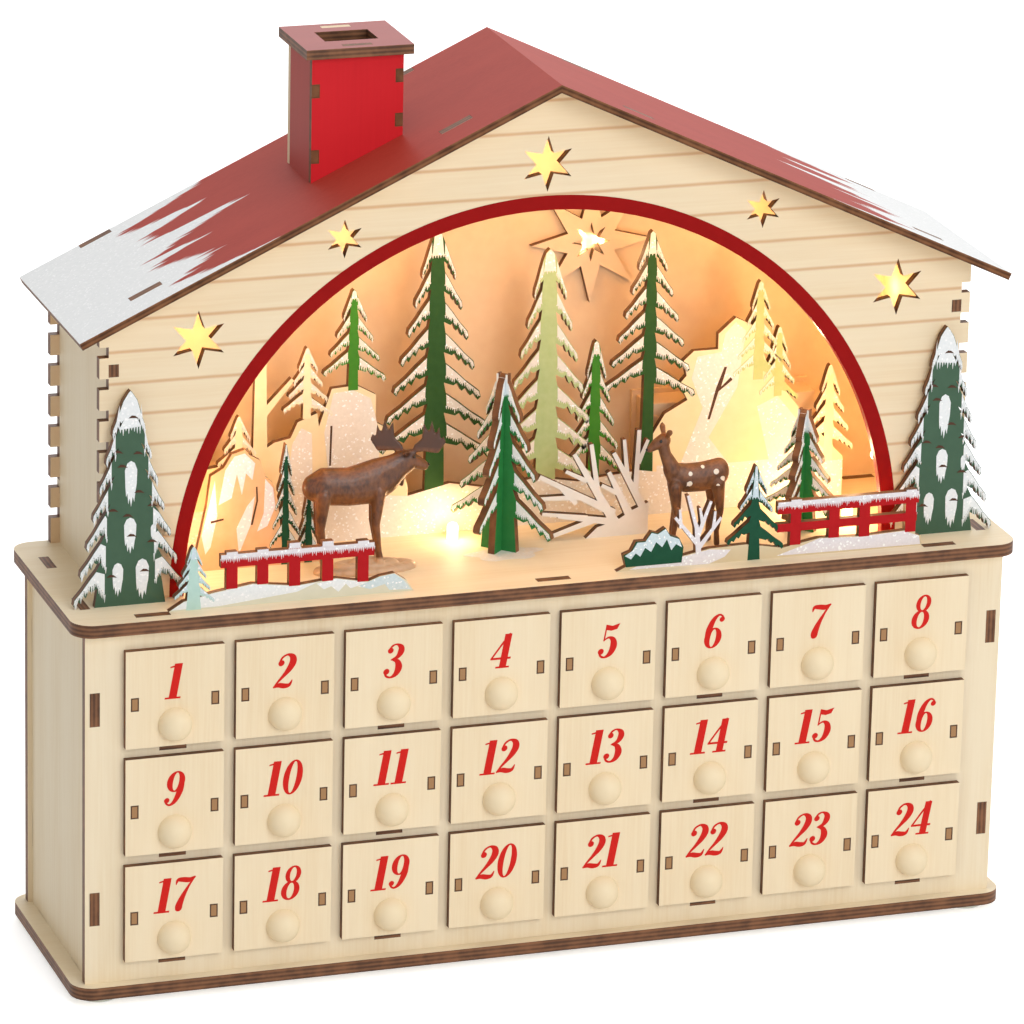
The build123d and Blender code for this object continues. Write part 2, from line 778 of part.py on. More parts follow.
forest_fir_shares = (
    (-0.43, 0.49, 0.815, 0.093, 4, 0.5, 0.20),
    (-0.195, 0.10, 0.985, 0.167, 7, 1.0, 0.22),
    (0.125, 0.10, 0.90, 0.160, 7, 1.05, 0.10),
    (0.42, 0.10, 0.935, 0.137, 6, 0.65, 0.40),
    (0.265, 0.10, 0.59, 0.083, 5, 0.6, 0.20),
    (-0.56, 0.41, 0.64, 0.073, 4, 0.4, 0.15),
    (-0.75, 0.26, 0.435, 0.067, 3, 0.4, 0.15),
    (0.74, 0.42, 0.745, 0.080, 5, 0.5, 0.08),
    (0.80, 0.36, 0.59, 0.060, 4, 0.4, 0.08),
    (0.955, 0.12, 0.45, 0.075, 4, 0.5, 0.25),
)
forest_fall_share = 0.45
forest_half = forest_wide / 2

with BuildPart() as forest:
    with BuildSketch(upright(front_y + forest_back)):
        with Locations((0, scene_z)):
            for land_shares in (ground_shares, left_crag_shares, right_crag_shares):
                Polygon(*scaled(land_shares, forest_half, forest_high), align=None)
            for twig in twig_pair(bare_tree_shares, forest_half, forest_high, forest_stem):
                Polygon(*twig, align=None)
        for x_share, foot_share, top_share, reach_share, tiers, stem_share, crown_share in forest_fir_shares:
            fir_high = (top_share - foot_share) * forest_high
            fir_reach = reach_share * forest_half
            outline = fir(
                fir_high, fir_reach, tiers, stem_share * forest_stem, crown_share, forest_fall_share
            )
            with Locations((x_share * forest_half, scene_z + foot_share * forest_high)):
                Polygon(*outline, align=None)
    extrude(amount=-ply_thick)
save(forest.part, "rear_forest")

# Great star on the back wall, with a star-shaped window for its light
big_star_waist_share = 0.42
with BuildPart() as great_star:
    with BuildSketch(upright(house_back_y - ply_thick)):
        with Locations((big_star_mid, scene_z + big_star_rise)):
            rays = star(big_star_points, big_star_round, big_star_round * big_star_waist_share)
            Polygon(*rays, align=None)
            window = star(big_star_points, big_star_hole, big_star_hole * big_star_waist_share)
            Polygon(*window, align=None, mode=Mode.SUBTRACT)
    extrude(amount=-ply_thick)
save(great_star.part, "great_star")

# Rock with two small firs, behind the moose
rock_shares = (
    (-0.5, 0), (0.5, 0), (0.34, 0.10), (0.20, 0.12), (0.16, 0.55), (0.12, 0.70), (0.06, 0.76), (0.02, 0.90),
    (-0.06, 0.95), (-0.10, 1.0), (-0.20, 0.97), (-0.26, 0.86), (-0.36, 0.80), (-0.39, 0.55), (-0.44, 0.30),
)
rock_fir_shares = ((0.22, 1.02, 0.13, 5), (0.40, 0.62, 0.11, 3))
rock_stem_share = 0.03
rock_crown_share = 0.18
with BuildPart() as rock:
    with BuildSketch(upright(front_y + rock_back)):
        with Locations((-rock_mid, scene_z)):
            Polygon(*scaled(rock_shares, rock_wide, rock_high), align=None)
        for x_share, top_share, reach_share, tiers in rock_fir_shares:
            fir_high = top_share * rock_high
            fir_reach = reach_share * rock_wide
            small_fir = fir(fir_high, fir_reach, tiers, rock_stem_share * rock_wide, rock_crown_share)
            with Locations((x_share * rock_wide - rock_mid, scene_z)):
                Polygon(*small_fir, align=None)
    extrude(amount=-ply_thick)
save(rock.part, "rock_and_small_firs")

# Bare white thicket behind the fawn
thicket_foot_shares = ((-0.05, 0), (0.5, 0), (0.5, 0.30), (0.36, 0.24), (0.22, 0.15), (0.05, 0.10))
thicket_twig_shares = (
    (0.48, 0.08, -0.30, 0.24, 1.3, 0.7),
    (0.20, 0.14, -0.17, 0.82, 1.4, 0.6),
    (0.05, 0.42, -0.02, 0.90, 0.8, 0.6),
    (0.34, 0.18, 0.14, 0.62, 1.3, 0.6),
    (0.47, 0.22, 0.18, 0.80, 1.2, 0.6),
    (0.38, 0.40, 0.40, 1.00, 0.8, 0.6),
    (0.20, 0.22, -0.47, 0.63, 1.2, 0.6),
    (-0.10, 0.40, -0.50, 0.42, 0.8, 0.5),
    (0.02, 0.17, -0.38, 0.04, 0.9, 0.6),
    (-0.04, 0.20, -0.44, 0.27, 0.7, 0.5),
    (0.31, 0.53, 0.27, 0.92, 0.7, 0.5),
    (-0.05, 0.55, -0.24, 0.66, 0.7, 0.5),
    (0.24, 0.40, 0.08, 0.50, 0.7, 0.5),
    (-0.14, 0.34, -0.33, 0.56, 0.7, 0.5),
    (0.40, 0.68, 0.48, 0.90, 0.7, 0.5),
)
with BuildPart() as thicket:
    with BuildSketch(upright(front_y + thicket_back)):
        with Locations((thicket_mid, scene_z)):
            Polygon(*scaled(thicket_foot_shares, thicket_wide, thicket_high), align=None)
            for twig in twig_pair(thicket_twig_shares, thicket_wide, thicket_high, twig_thick):
                Polygon(*twig, align=None)
    extrude(amount=-ply_thick)
save(thicket.part, "white_thicket")


# Front plates: snow banks with fences, bushes and small firs
def fence(post_shares, rail_shares, wide, high):
    """Draw posts and rails: posts as place, foot and top, rails as start, end and height."""
    for x_share, foot_share, top_share in post_shares:
        with Locations((x_share * wide, (foot_share + top_share) / 2 * high)):
            Rectangle(post_wide, (top_share - foot_share) * high)
    for start_share, end_share, level_share, thick_share in rail_shares:
        with Locations(((start_share + end_share) / 2 * wide, level_share * high)):
            Rectangle((end_share - start_share) * wide, thick_share * rail_high)


left_bank_shares = (
    (-0.5, 0), (0.5, 0), (0.47, 0.17), (0.42, 0.30), (0.36, 0.27), (0.31, 0.20), (0.18, 0.30), (0.02, 0.24),
    (-0.16, 0.33), (-0.32, 0.24), (-0.44, 0.14),
)
left_post_shares = (
    (-0.245, 0.20, 0.86), (-0.12, 0.20, 0.86), (0.01, 0.16, 0.92), (0.145, 0.18, 0.90), (0.29, 0.16, 0.86),
)
left_rail_shares = ((-0.29, 0.335, 0.72, 1.7),)
left_fir_place_share = -0.40
left_fir_reach_share = 0.085
left_fir_stem_share = 0.03
left_fir_tiers = 4
plate_crown_share = 0.22
with BuildPart() as left_plate:
    with BuildSketch(upright(front_y + front_plate_back)):
        with Locations((-left_plate_mid, scene_z)):
            Polygon(*scaled(left_bank_shares, left_plate_wide, left_plate_high), align=None)
            fence(left_post_shares, left_rail_shares, left_plate_wide, left_plate_high)
        left_fir = fir(
            left_plate_high, left_fir_reach_share * left_plate_wide, left_fir_tiers,
            left_fir_stem_share * left_plate_wide, plate_crown_share,
        )
        with Locations((left_fir_place_share * left_plate_wide - left_plate_mid, scene_z)):
            Polygon(*left_fir, align=None)
    extrude(amount=-ply_thick)
save(left_plate.part, "front_left_scenery")

right_bank_shares = (
    (-0.5, 0), (0.5, 0), (0.495, 0.10), (0.44, 0.17), (0.30, 0.15), (0.16, 0.17), (0.04, 0.10),
    (-0.08, 0.17), (-0.20, 0.16), (-0.30, 0.10), (-0.46, 0.06),
)
bush_shares = (
    (-0.47, 0.04), (-0.29, 0.04), (-0.285, 0.20), (-0.30, 0.30), (-0.33, 0.34), (-0.345, 0.42),
    (-0.37, 0.37), (-0.39, 0.39), (-0.41, 0.30), (-0.44, 0.30), (-0.455, 0.20), (-0.48, 0.17),
)
shrub_twig_shares = (
    (-0.235, 0.10, -0.245, 0.42, 1.0, 0.7),
    (-0.245, 0.40, -0.275, 0.74, 0.7, 0.5),
    (-0.24, 0.30, -0.20, 0.66, 0.8, 0.5),
    (-0.24, 0.22, -0.315, 0.52, 0.8, 0.5),
    (-0.295, 0.40, -0.30, 0.60, 0.6, 0.4),
    (-0.235, 0.18, -0.165, 0.48, 0.8, 0.5),
    (-0.19, 0.37, -0.185, 0.55, 0.6, 0.4),
    (-0.225, 0.42, -0.235, 0.60, 0.6, 0.4),
)
right_post_shares = ((0.08, 0.10, 0.60), (0.207, 0.10, 0.58), (0.307, 0.10, 0.58), (0.46, 0.08, 0.60))
right_rail_shares = ((0.02, 0.485, 0.52, 1.6), (0.02, 0.48, 0.31, 1.1))
right_fir_place_share = -0.055
right_plate_reach_share = 0.097
right_plate_stem_share = 0.02
right_plate_tiers = 4
with BuildPart() as right_plate:
    with BuildSketch(upright(front_y + front_plate_back)):
        with Locations((right_plate_mid, scene_z)):
            for bank_shares in (right_bank_shares, bush_shares):
                Polygon(*scaled(bank_shares, right_plate_wide, right_plate_high), align=None)
            for twig in twig_pair(shrub_twig_shares, right_plate_wide, right_plate_high, shrub_thick):
                Polygon(*twig, align=None)
            fence(right_post_shares, right_rail_shares, right_plate_wide, right_plate_high)
        plate_fir = fir(
            right_plate_high, right_plate_reach_share * right_plate_wide, right_plate_tiers,
            right_plate_stem_share * right_plate_wide, plate_crown_share,
        )
        with Locations((right_fir_place_share * right_plate_wide + right_plate_mid, scene_z)):
            Polygon(*plate_fir, align=None)
    extrude(amount=-ply_thick)
save(right_plate.part, "front_right_scenery")

# Moulded figures: a trunk of rings along the body, four jointed legs and a head, in shares of the height
moose_ring_shares = (
    (-0.42, 0.60, 0.020, 0.030), (-0.38, 0.605, 0.060, 0.085), (-0.29, 0.605, 0.092, 0.130),
    (-0.12, 0.590, 0.095, 0.132), (0.06, 0.615, 0.094, 0.155), (0.16, 0.655, 0.072, 0.130),
    (0.24, 0.715, 0.056, 0.095), (0.31, 0.745, 0.050, 0.070), (0.37, 0.705, 0.040, 0.050),
    (0.405, 0.690, 0.032, 0.036),
)
moose_leg_shares = ((-0.31, -0.060), (-0.29, 0.060), (0.07, -0.058), (0.09, 0.058))
moose_leg_ring_shares = (
    (0.56, 0.056, 0.00), (0.32, 0.030, -0.02), (0.14, 0.020, 0.01), (0.06, 0.028, 0.015),
)
moose_palm_shares = (
    (0.02, 0.00), (0.10, 0.02), (0.20, 0.01), (0.25, 0.09), (0.235, 0.13), (0.215, 0.10), (0.205, 0.20),
    (0.18, 0.13), (0.155, 0.24), (0.135, 0.15), (0.10, 0.22), (0.09, 0.11), (0.04, 0.06),
)
moose_crown_share = (0.285, 0.785)
antler_angle = -22
moose_stand_shares = (0.38, 0.15, 0.09)
fawn_ring_shares = (
    (0.300, 0.60, 0.030, 0.045), (0.255, 0.60, 0.085, 0.115), (0.12, 0.57, 0.100, 0.130),
    (-0.02, 0.57, 0.090, 0.125), (-0.12, 0.60, 0.065, 0.105), (-0.17, 0.67, 0.050, 0.075),
)
fawn_neck_shares = ((-0.13, 0.64, 0.075), (-0.20, 0.78, 0.052), (-0.235, 0.87, 0.062))
fawn_head_shares = ((-0.20, 0.90, 0.058), (-0.26, 0.88, 0.062), (-0.335, 0.83, 0.030))
fawn_leg_shares = ((0.23, -0.070), (0.21, 0.070), (-0.13, -0.060), (-0.10, 0.060))
fawn_leg_ring_shares = (
    (0.52, 0.062, 0.00), (0.30, 0.032, 0.02), (0.12, 0.021, -0.005), (0.00, 0.030, 0.00),
)
fawn_neck_lean_shares = ((-0.5, 0, 0.85), (-0.35, 0, 0.94), (-0.3, 0, 0.95))
fawn_head_lean_shares = ((-1, 0, -0.2), (-1, 0, -0.5), (-1, 0, -0.6))
fawn_ear_shares = ((-0.215, 0.92, -0.05), (-0.215, 0.92, 0.05))
ear_lean_shares = (2, 0.1)
ear_round_shares = (0.5, 0.17)


def trunk_of_rings(x, y, size, rings):
    """A trunk lofted through upright oval rings along the length of a figure."""
    with BuildPart() as trunk:
        for along, up, half_wide, half_high in rings:
            ring_at = (x + along * size, y, scene_z + up * size)
            with BuildSketch(Plane(origin=ring_at, x_dir=(0, 1, 0), z_dir=(1, 0, 0))):
                Ellipse(half_wide * size, half_high * size)
        loft()
    return trunk.part


def leg(x, y, size, rings):
    """A leg lofted through round rings from the body down to the hoof."""
    with BuildPart() as limb:
        for up, half_wide, bend in rings:
            with BuildSketch(Plane.XY.offset(scene_z + up * size)):
                with Locations((x + bend * size, y)):
                    Circle(half_wide * size)
        loft()
    return limb.part


def round_run(points, rounds, directions):
    """A solid lofted through circles at points, each square to its direction."""
    with BuildPart() as run:
        for point, size, direction in zip(points, rounds, directions):
            with BuildSketch(Plane(origin=point, z_dir=direction)):
                Circle(size)
        loft()
    return run.part


moose_y = front_y + moose_back
with BuildPart() as moose:
    add(trunk_of_rings(-moose_mid, moose_y, moose_high, moose_ring_shares))
    for along, across in moose_leg_shares:
        hip_x = -moose_mid + along * moose_high
        add(leg(hip_x, moose_y + across * moose_high, moose_high, moose_leg_ring_shares))
    crown_at = (
        -moose_mid + moose_crown_share[0] * moose_high, moose_y, scene_z + moose_crown_share[1] * moose_high
    )
    antler_x = (cos(radians(antler_angle)), sin(radians(antler_angle)), 0)
    antler_normal = (sin(radians(antler_angle)), -cos(radians(antler_angle)), 0)
    with BuildSketch(Plane(origin=crown_at, x_dir=antler_x, z_dir=antler_normal)):
        for palm_sign in (-1, 1):
            palm = [(palm_sign * x * moose_high, z * moose_high) for x, z in moose_palm_shares]
            Polygon(*palm, align=None)
        brow_wide = moose_palm_shares[1][0] * moose_high
        with Locations((0, -brow_wide / 2)):
            Rectangle(brow_wide, 2 * brow_wide)
    extrude(amount=antler_thick / 2, both=True)
    with BuildSketch(Plane.XY.offset(scene_z)):
        stand_long, stand_wide, stand_high = [share * moose_high for share in moose_stand_shares]
        with Locations((-moose_mid + moose_leg_ring_shares[1][2] * moose_high, moose_y)):
            Ellipse(stand_long, stand_wide)
    extrude(amount=stand_high, taper=stand_angle)
save(moose.part, "moose")

fawn_y = front_y + fawn_back


def fawn_run(ring_shares, lean_shares):
    """The neck or the head of the fawn, from the place and radius of each ring."""
    points = [(fawn_mid + x * fawn_high, fawn_y, scene_z + z * fawn_high) for x, z, r in ring_shares]
    return round_run(points, [r * fawn_high for x, z, r in ring_shares], lean_shares)


with BuildPart() as fawn:
    add(trunk_of_rings(fawn_mid, fawn_y, fawn_high, fawn_ring_shares))
    for along, across in fawn_leg_shares:
        add(leg(fawn_mid + along * fawn_high, fawn_y + across * fawn_high, fawn_high, fawn_leg_ring_shares))
    add(fawn_run(fawn_neck_shares, fawn_neck_lean_shares))
    add(fawn_run(fawn_head_shares, fawn_head_lean_shares))
    for ear_x, ear_z, ear_y in fawn_ear_shares:
        ear_out, ear_up = ear_lean_shares
        ear_foot = Vector(fawn_mid, fawn_y, scene_z)
        ear_foot += Vector(ear_x, ear_y * ear_round_shares[0], ear_z) * fawn_high
        ear_lean = Vector(0, ear_out * ear_y, ear_up) * fawn_high
        ear_rounds = [abs(ear_y) * share * fawn_high for share in ear_round_shares]
        add(round_run([ear_foot, ear_foot + ear_lean], ear_rounds, [ear_lean, ear_lean]))
save(fawn.part, "fawn")

# Lights: round-topped bulbs behind the arch and on the floor among the plates
bulbs = []
bulb_seats = []
for angle in led_angles:
    set_round = arch_round + led_set
    bulb_x = set_round * cos(radians(angle))
    bulb_z = scene_z + set_round * sin(radians(angle))
    bulb_seats.append(Plane(origin=(bulb_x, house_inner_y, bulb_z), x_dir=(1, 0, 0), z_dir=(0, 1, 0)))
for x_share, y_share in led_floor_shares:
    bulb_seats.append(Plane(origin=(x_share * arch_round, front_y + y_share * cab_deep, scene_z)))
for seat in bulb_seats:
    with BuildPart() as bulb:
        with BuildSketch(seat):
            Circle(led_wide / 2)
        extrude(amount=led_long)
        tip = bulb.faces().sort_by(Axis(seat.origin, seat.z_dir))[-1]
        fillet(tip.edges(), led_wide * led_tip_share)
    bulbs.append(bulb.part)
save_group(bulbs, "led_bulbs")

# Battery case in the back wall: a tray with a snap-in cover, two cells, contacts and a slide switch
case_low_z = scene_z + case_raise
case_mid_z = case_low_z + case_high / 2
case_front_y = board_back_y - case_deep
pocket_mid_x = case_mid + case_wide / 2 - pocket_side - pocket_wide / 2
switch_mid_x = (case_mid - case_wide / 2 + pocket_mid_x - pocket_wide / 2) / 2
cover_wide = pocket_wide + 2 * cover_lap
cover_high = pocket_high + 2 * cover_lap

with BuildPart() as battery_case:
    with BuildSketch(upright(case_front_y)):
        with Locations((case_mid, case_mid_z)):
            Rectangle(case_wide, case_high)
    extrude(amount=-case_deep)
    with BuildSketch(upright(house_back_y - case_flange)):
        with Locations((case_mid, case_mid_z)):
            Rectangle(case_wide + 2 * case_flange, case_high + 2 * case_flange)
    extrude(amount=-case_flange)
    with BuildSketch(upright(case_front_y + pocket_floor)):
        with Locations((pocket_mid_x, case_mid_z)):
            Rectangle(pocket_wide, pocket_high)
    extrude(amount=-case_deep, mode=Mode.SUBTRACT)
    with BuildSketch(upright(board_back_y - cover_thick)):
        with Locations((pocket_mid_x, case_mid_z)):
            Rectangle(cover_wide + 2 * cover_gap, cover_high + 2 * cover_gap)
        with Locations((switch_mid_x, case_mid_z)):
            Rectangle(switch_wide + 2 * cover_gap, switch_high + switch_travel + 2 * cover_gap)
    extrude(amount=-cover_thick - overrun, mode=Mode.SUBTRACT)
save(battery_case.part, "battery_case")

with BuildPart() as battery_cover:
    with BuildSketch(upright(board_back_y - cover_thick)):
        with Locations((pocket_mid_x, case_mid_z)):
            Rectangle(cover_wide, cover_high)
        with Locations((pocket_mid_x, case_mid_z + cover_high / 2)):
            Circle(finger_round, mode=Mode.SUBTRACT)
    extrude(amount=-cover_thick)
save(battery_cover.part, "battery_cover")

with BuildPart() as switch_slider:
    with BuildSketch(upright(board_back_y - cover_thick)):
        with Locations((switch_mid_x, case_mid_z - switch_travel / 2)):
            Rectangle(switch_wide, switch_high)
    extrude(amount=-cover_thick + cover_gap)
save(switch_slider.part, "switch_slider")

cell_y = case_front_y + pocket_floor + fit_gap + cell_round
cell_spread = pocket_high / 4
cells = []
contacts = []


def cross_plane(x, z, sign):
    """Plane square to the cells, at the depth of their middle line."""
    return Plane(origin=(x, cell_y, z), x_dir=(0, 1, 0), z_dir=(sign, 0, 0))


for cell_sign in (-1, 1):
    cell_z = case_mid_z + cell_sign * cell_spread
    cell_start = pocket_mid_x - cell_sign * cell_long / 2
    with BuildPart() as cell:
        with BuildSketch(cross_plane(cell_start, cell_z, cell_sign)):
            Circle(cell_round)
        extrude(amount=cell_long)
        with BuildSketch(cross_plane(cell_start + cell_sign * cell_long, cell_z, cell_sign)):
            Circle(nub_round)
        extrude(amount=nub_long)
    cells.append(cell.part)
for end_sign in (-1, 1):
    end_x = pocket_mid_x + end_sign * pocket_wide / 2
    with BuildPart() as contact:
        with BuildSketch(cross_plane(end_x, case_mid_z, -end_sign)):
            Rectangle(contact_wide, pocket_high - 2 * fit_gap)
        extrude(amount=contact_thick)
        for cell_sign in (-1, 1):
            cell_z = case_mid_z + cell_sign * cell_spread
            cell_reach = cell_long / 2 + (nub_long if cell_sign == end_sign else 0) + fit_gap
            with BuildSketch(cross_plane(end_x - end_sign * contact_thick, cell_z, -end_sign)):
                Circle(nub_round)
            extrude(amount=pocket_wide / 2 - contact_thick - cell_reach)
    contacts.append(contact.part)
save_group(cells, "battery_cells")
save_group(contacts, "battery_contacts")
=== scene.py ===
# %% [markdown]
# # A wooden advent calendar
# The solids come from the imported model: sheets of plywood with tabs and slots, 24 drawers, two figures
# and a battery case. This lesson gives them their finish: birch with scorched edges, paint and snow on
# the scenery, numbers on the drawers, finer figures and the glow of the lights. All sizes below are in
# millimetres, and one factor turns them into Blender's metres. A place is tested with a little slack.

# %% Load the frame
import math

import bmesh
import bpy
from mathutils import Matrix, Vector
from mathutils.geometry import delaunay_2d_cdt


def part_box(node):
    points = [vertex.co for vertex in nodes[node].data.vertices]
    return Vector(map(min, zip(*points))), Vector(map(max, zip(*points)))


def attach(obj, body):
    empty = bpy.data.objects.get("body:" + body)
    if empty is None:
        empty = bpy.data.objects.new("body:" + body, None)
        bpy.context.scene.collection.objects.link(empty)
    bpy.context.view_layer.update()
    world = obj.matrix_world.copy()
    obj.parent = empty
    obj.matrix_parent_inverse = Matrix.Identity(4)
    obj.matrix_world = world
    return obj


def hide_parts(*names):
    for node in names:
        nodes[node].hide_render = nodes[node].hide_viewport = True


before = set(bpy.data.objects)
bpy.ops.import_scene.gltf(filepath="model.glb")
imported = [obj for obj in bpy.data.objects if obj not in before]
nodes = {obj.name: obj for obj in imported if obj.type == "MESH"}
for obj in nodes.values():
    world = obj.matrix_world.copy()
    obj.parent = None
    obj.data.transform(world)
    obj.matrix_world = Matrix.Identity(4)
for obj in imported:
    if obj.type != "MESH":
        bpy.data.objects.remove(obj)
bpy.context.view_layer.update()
mm = 0.001
slack = 0.02


def span(node):
    """Lowest and highest corner of a node at rest, in millimetres."""
    low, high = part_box(node)
    return low / mm, high / mm


front_y = span("cabinet_front")[0].y
cab_low_z = span("base_board")[1].z
scene_z = span("top_board")[1].z
house_front_y = span("house_front")[0].y
house_back_y = span("house_back")[0].y
ply_thick = span("great_star")[1].y - span("great_star")[0].y
print(f"{len(nodes)} nodes, floor of the scene at {scene_z:.1f} mm, cabinet front at {front_y:.1f} mm")

# %% [markdown]
# ## Camera
# The photograph was taken with a long lens from the left and from above. The camera's place, turn and focal
# length come from fitting the straight edges of the boards, so the render can be laid over the picture.

# %% Camera
photo_size = 1024
focal_pixels = 6495.63
sensor_wide = 36
camera_at = Vector((-813.91, front_y - 2328.90, cab_low_z + 1011.81))
yaw, pitch, roll = 0.3290, 0.3243, 0.0226

ahead = Vector((math.sin(yaw) * math.cos(pitch), math.cos(yaw) * math.cos(pitch), -math.sin(pitch)))
right = Vector((math.cos(yaw), -math.sin(yaw), 0))
up = right.cross(ahead)
turned_right = right * math.cos(roll) + up * math.sin(roll)
turned_up = up * math.cos(roll) - right * math.sin(roll)
camera_data = bpy.data.cameras.new("photo_camera")
camera_data.sensor_width = sensor_wide
camera_data.lens = sensor_wide * focal_pixels / photo_size
camera_data.clip_end = 50
camera = bpy.data.objects.new("photo_camera", camera_data)
bpy.context.scene.collection.objects.link(camera)
camera.matrix_world = Matrix.Translation(camera_at * mm) @ Matrix(
    (turned_right, turned_up, -ahead)
).transposed().to_4x4()
bpy.context.scene.camera = camera
bpy.context.scene.view_settings.view_transform = "Standard"
print(f"lens {camera_data.lens:.1f} mm")

# %% [markdown]
# ## One helper for all node trees
# Shader trees and geometry trees are both made of nodes with properties and sockets. One function adds a
# node: settings go to its properties, and an input takes either a value or the socket of another node.

# %% Nodes and colours
def put(tree, kind, settings=None, inputs=None):
    """Add one node, set its properties, and set or link its inputs."""
    made = tree.nodes.new(kind)
    for name, value in (settings or {}).items():
        setattr(made, name, value)
    for key, value in (inputs or {}).items():
        if isinstance(value, bpy.types.NodeSocket):
            tree.links.new(value, made.inputs[key])
        else:
            made.inputs[key].default_value = value
    return made


def linear(code):
    """A colour written as sRGB hex, as the linear values that Blender works in."""
    shades = [int(code[at:at + 2], 16) / 255 for at in (1, 3, 5)]
    return (*[s / 12.92 if s <= 0.04045 else ((s + 0.055) / 1.055) ** 2.4 for s in shades], 1)


def new_material(name):
    """An empty material with its Principled shader and its output."""
    made = bpy.data.materials.new(name)
    made.use_nodes = True
    tree = made.node_tree
    tree.nodes.clear()
    shader = put(tree, "ShaderNodeBsdfPrincipled")
    put(tree, "ShaderNodeOutputMaterial", None, {"Surface": shader.outputs[0]})
    return made, tree, shader


def dress(node, material):
    """Give a CAD node its finish through its material slots."""
    shown = nodes[node]
    if not shown.material_slots:
        shown.data.materials.append(material)
    for slot in shown.material_slots:
        slot.material = material


print(
    "black, mid grey and white in linear light:", linear("#000000")[0], linear("#808080")[0],
    linear("#FFFFFF")[0],
)

# %% [markdown]
# ## Floor, world and lamps
# The photograph is a shop picture on white. A pale floor that adds a little light of its own, for the camera
# and for reflections only, comes out white and still takes the shadow under the boards. Three large lamps
# give the soft light: the front is brightest, and the left flank lies in half shade.

# %% Stage
def seen_directly(tree):
    """1 for rays from the camera, a reflection or a clear piece, and 0 for the rays that carry light."""
    path = put(tree, "ShaderNodeLightPath")
    seen = put(
        tree, "ShaderNodeMath", {"operation": "MAXIMUM"},
        {0: path.outputs["Is Camera Ray"], 1: path.outputs["Is Glossy Ray"]},
    )
    seen = put(
        tree, "ShaderNodeMath", {"operation": "MAXIMUM"},
        {0: seen.outputs[0], 1: path.outputs["Is Transmission Ray"]},
    )
    return seen.outputs[0]


floor_mesh = bpy.data.meshes.new("floor")
floor_half = 6
floor_mesh.from_pydata(
    [
        (-floor_half, -floor_half, 0), (floor_half, -floor_half, 0), (floor_half, floor_half, 0),
        (-floor_half, floor_half, 0),
    ],
    [], [(0, 1, 2, 3)],
)
floor = bpy.data.objects.new("floor", floor_mesh)
bpy.context.scene.collection.objects.link(floor)
floor_paint, tree, shader = new_material("matt_white_backdrop")
shader.inputs["Base Color"].default_value = linear("#F4F4F4")
shader.inputs["Roughness"].default_value = 0.9
lift = put(tree, "ShaderNodeMath", {"operation": "MULTIPLY"}, {0: seen_directly(tree), 1: 0.55})
shader.inputs["Emission Color"].default_value = (1, 1, 1, 1)
tree.links.new(lift.outputs[0], shader.inputs["Emission Strength"])
floor_mesh.materials.append(floor_paint)

world = bpy.data.worlds.new("white_studio")
bpy.context.scene.world = world
world.use_nodes = True
tree = world.node_tree
tree.nodes.clear()
seen = seen_directly(tree)
strength = put(tree, "ShaderNodeMapRange", None, {"Value": seen, "To Min": 0.42, "To Max": 1.0})
sky = put(tree, "ShaderNodeBackground", None, {"Color": (1, 1, 1, 1), "Strength": strength.outputs[0]})
put(tree, "ShaderNodeOutputWorld", None, {"Surface": sky.outputs[0]})


def soft_lamp(name, place, aim, size, power):
    """A square lamp that faces a point, both in metres."""
    data = bpy.data.lights.new(name, "AREA")
    data.size = size
    data.energy = power
    lamp = bpy.data.objects.new(name, data)
    bpy.context.scene.collection.objects.link(lamp)
    lamp.location = place
    lamp.rotation_euler = (Vector(aim) - Vector(place)).to_track_quat("-Z", "Y").to_euler()


look_at = (0, 0, 0.2)
soft_lamp("front_lamp", (0.5, -2.2, 1.3), look_at, 1.4, 26)
soft_lamp("top_lamp", (0.2, -0.2, 2.2), look_at, 1.6, 14)
soft_lamp("back_lamp", (0.6, 2.0, 1.4), look_at, 1.4, 14)
print("floor, world and three lamps")

# %% [markdown]
# ## Birch plywood
# The sheets are sanded birch: nearly white, with a faint figure that runs one way. The laser leaves every
# cut edge brown, darkest at the glue lines. One function makes the finish for a sheet that lies square to
# a given direction: a surface that faces along that direction is a face, and any other surface is a cut
# edge. It reads the object-space normal, so it holds for every pose. A face may also carry a coat of
# paint on one side.

# %% Birch plywood
streak_wide, streak_long = 1.1, 34
cloud_wide, cloud_long = 14, 110
glue_pitch = 1.8


def wood_colour(tree, place, along, pale, streak):
    """Birch figure: fine streaks along the grain over wide soft clouds."""
    fine = [1 / (streak_wide * mm)] * 3
    fine[along] = 1 / (streak_long * mm)
    grain = put(tree, "ShaderNodeMapping", None, {"Vector": place.outputs["Object"], "Scale": fine})
    streaks = put(
        tree, "ShaderNodeTexNoise", None,
        {"Vector": grain.outputs[0], "Scale": 1, "Detail": 4, "Roughness": 0.6},
    )
    wide = [1 / (cloud_wide * mm)] * 3
    wide[along] = 1 / (cloud_long * mm)
    slow = put(tree, "ShaderNodeMapping", None, {"Vector": place.outputs["Object"], "Scale": wide})
    clouds = put(tree, "ShaderNodeTexNoise", None, {"Vector": slow.outputs[0], "Scale": 1, "Detail": 2})
    both = put(
        tree, "ShaderNodeMath", {"operation": "MULTIPLY"}, {0: streaks.outputs[0], 1: clouds.outputs[0]},
    )
    share = put(
        tree, "ShaderNodeMapRange", None,
        {"Value": both.outputs[0], "From Min": 0.12, "From Max": 0.44, "To Max": 0.5},
    )
    tint = put(
        tree, "ShaderNodeMix", {"data_type": "RGBA"},
        {0: share.outputs[0], 6: linear(pale), 7: linear(streak)},
    )
    return tint.outputs[2], streaks.outputs[0]


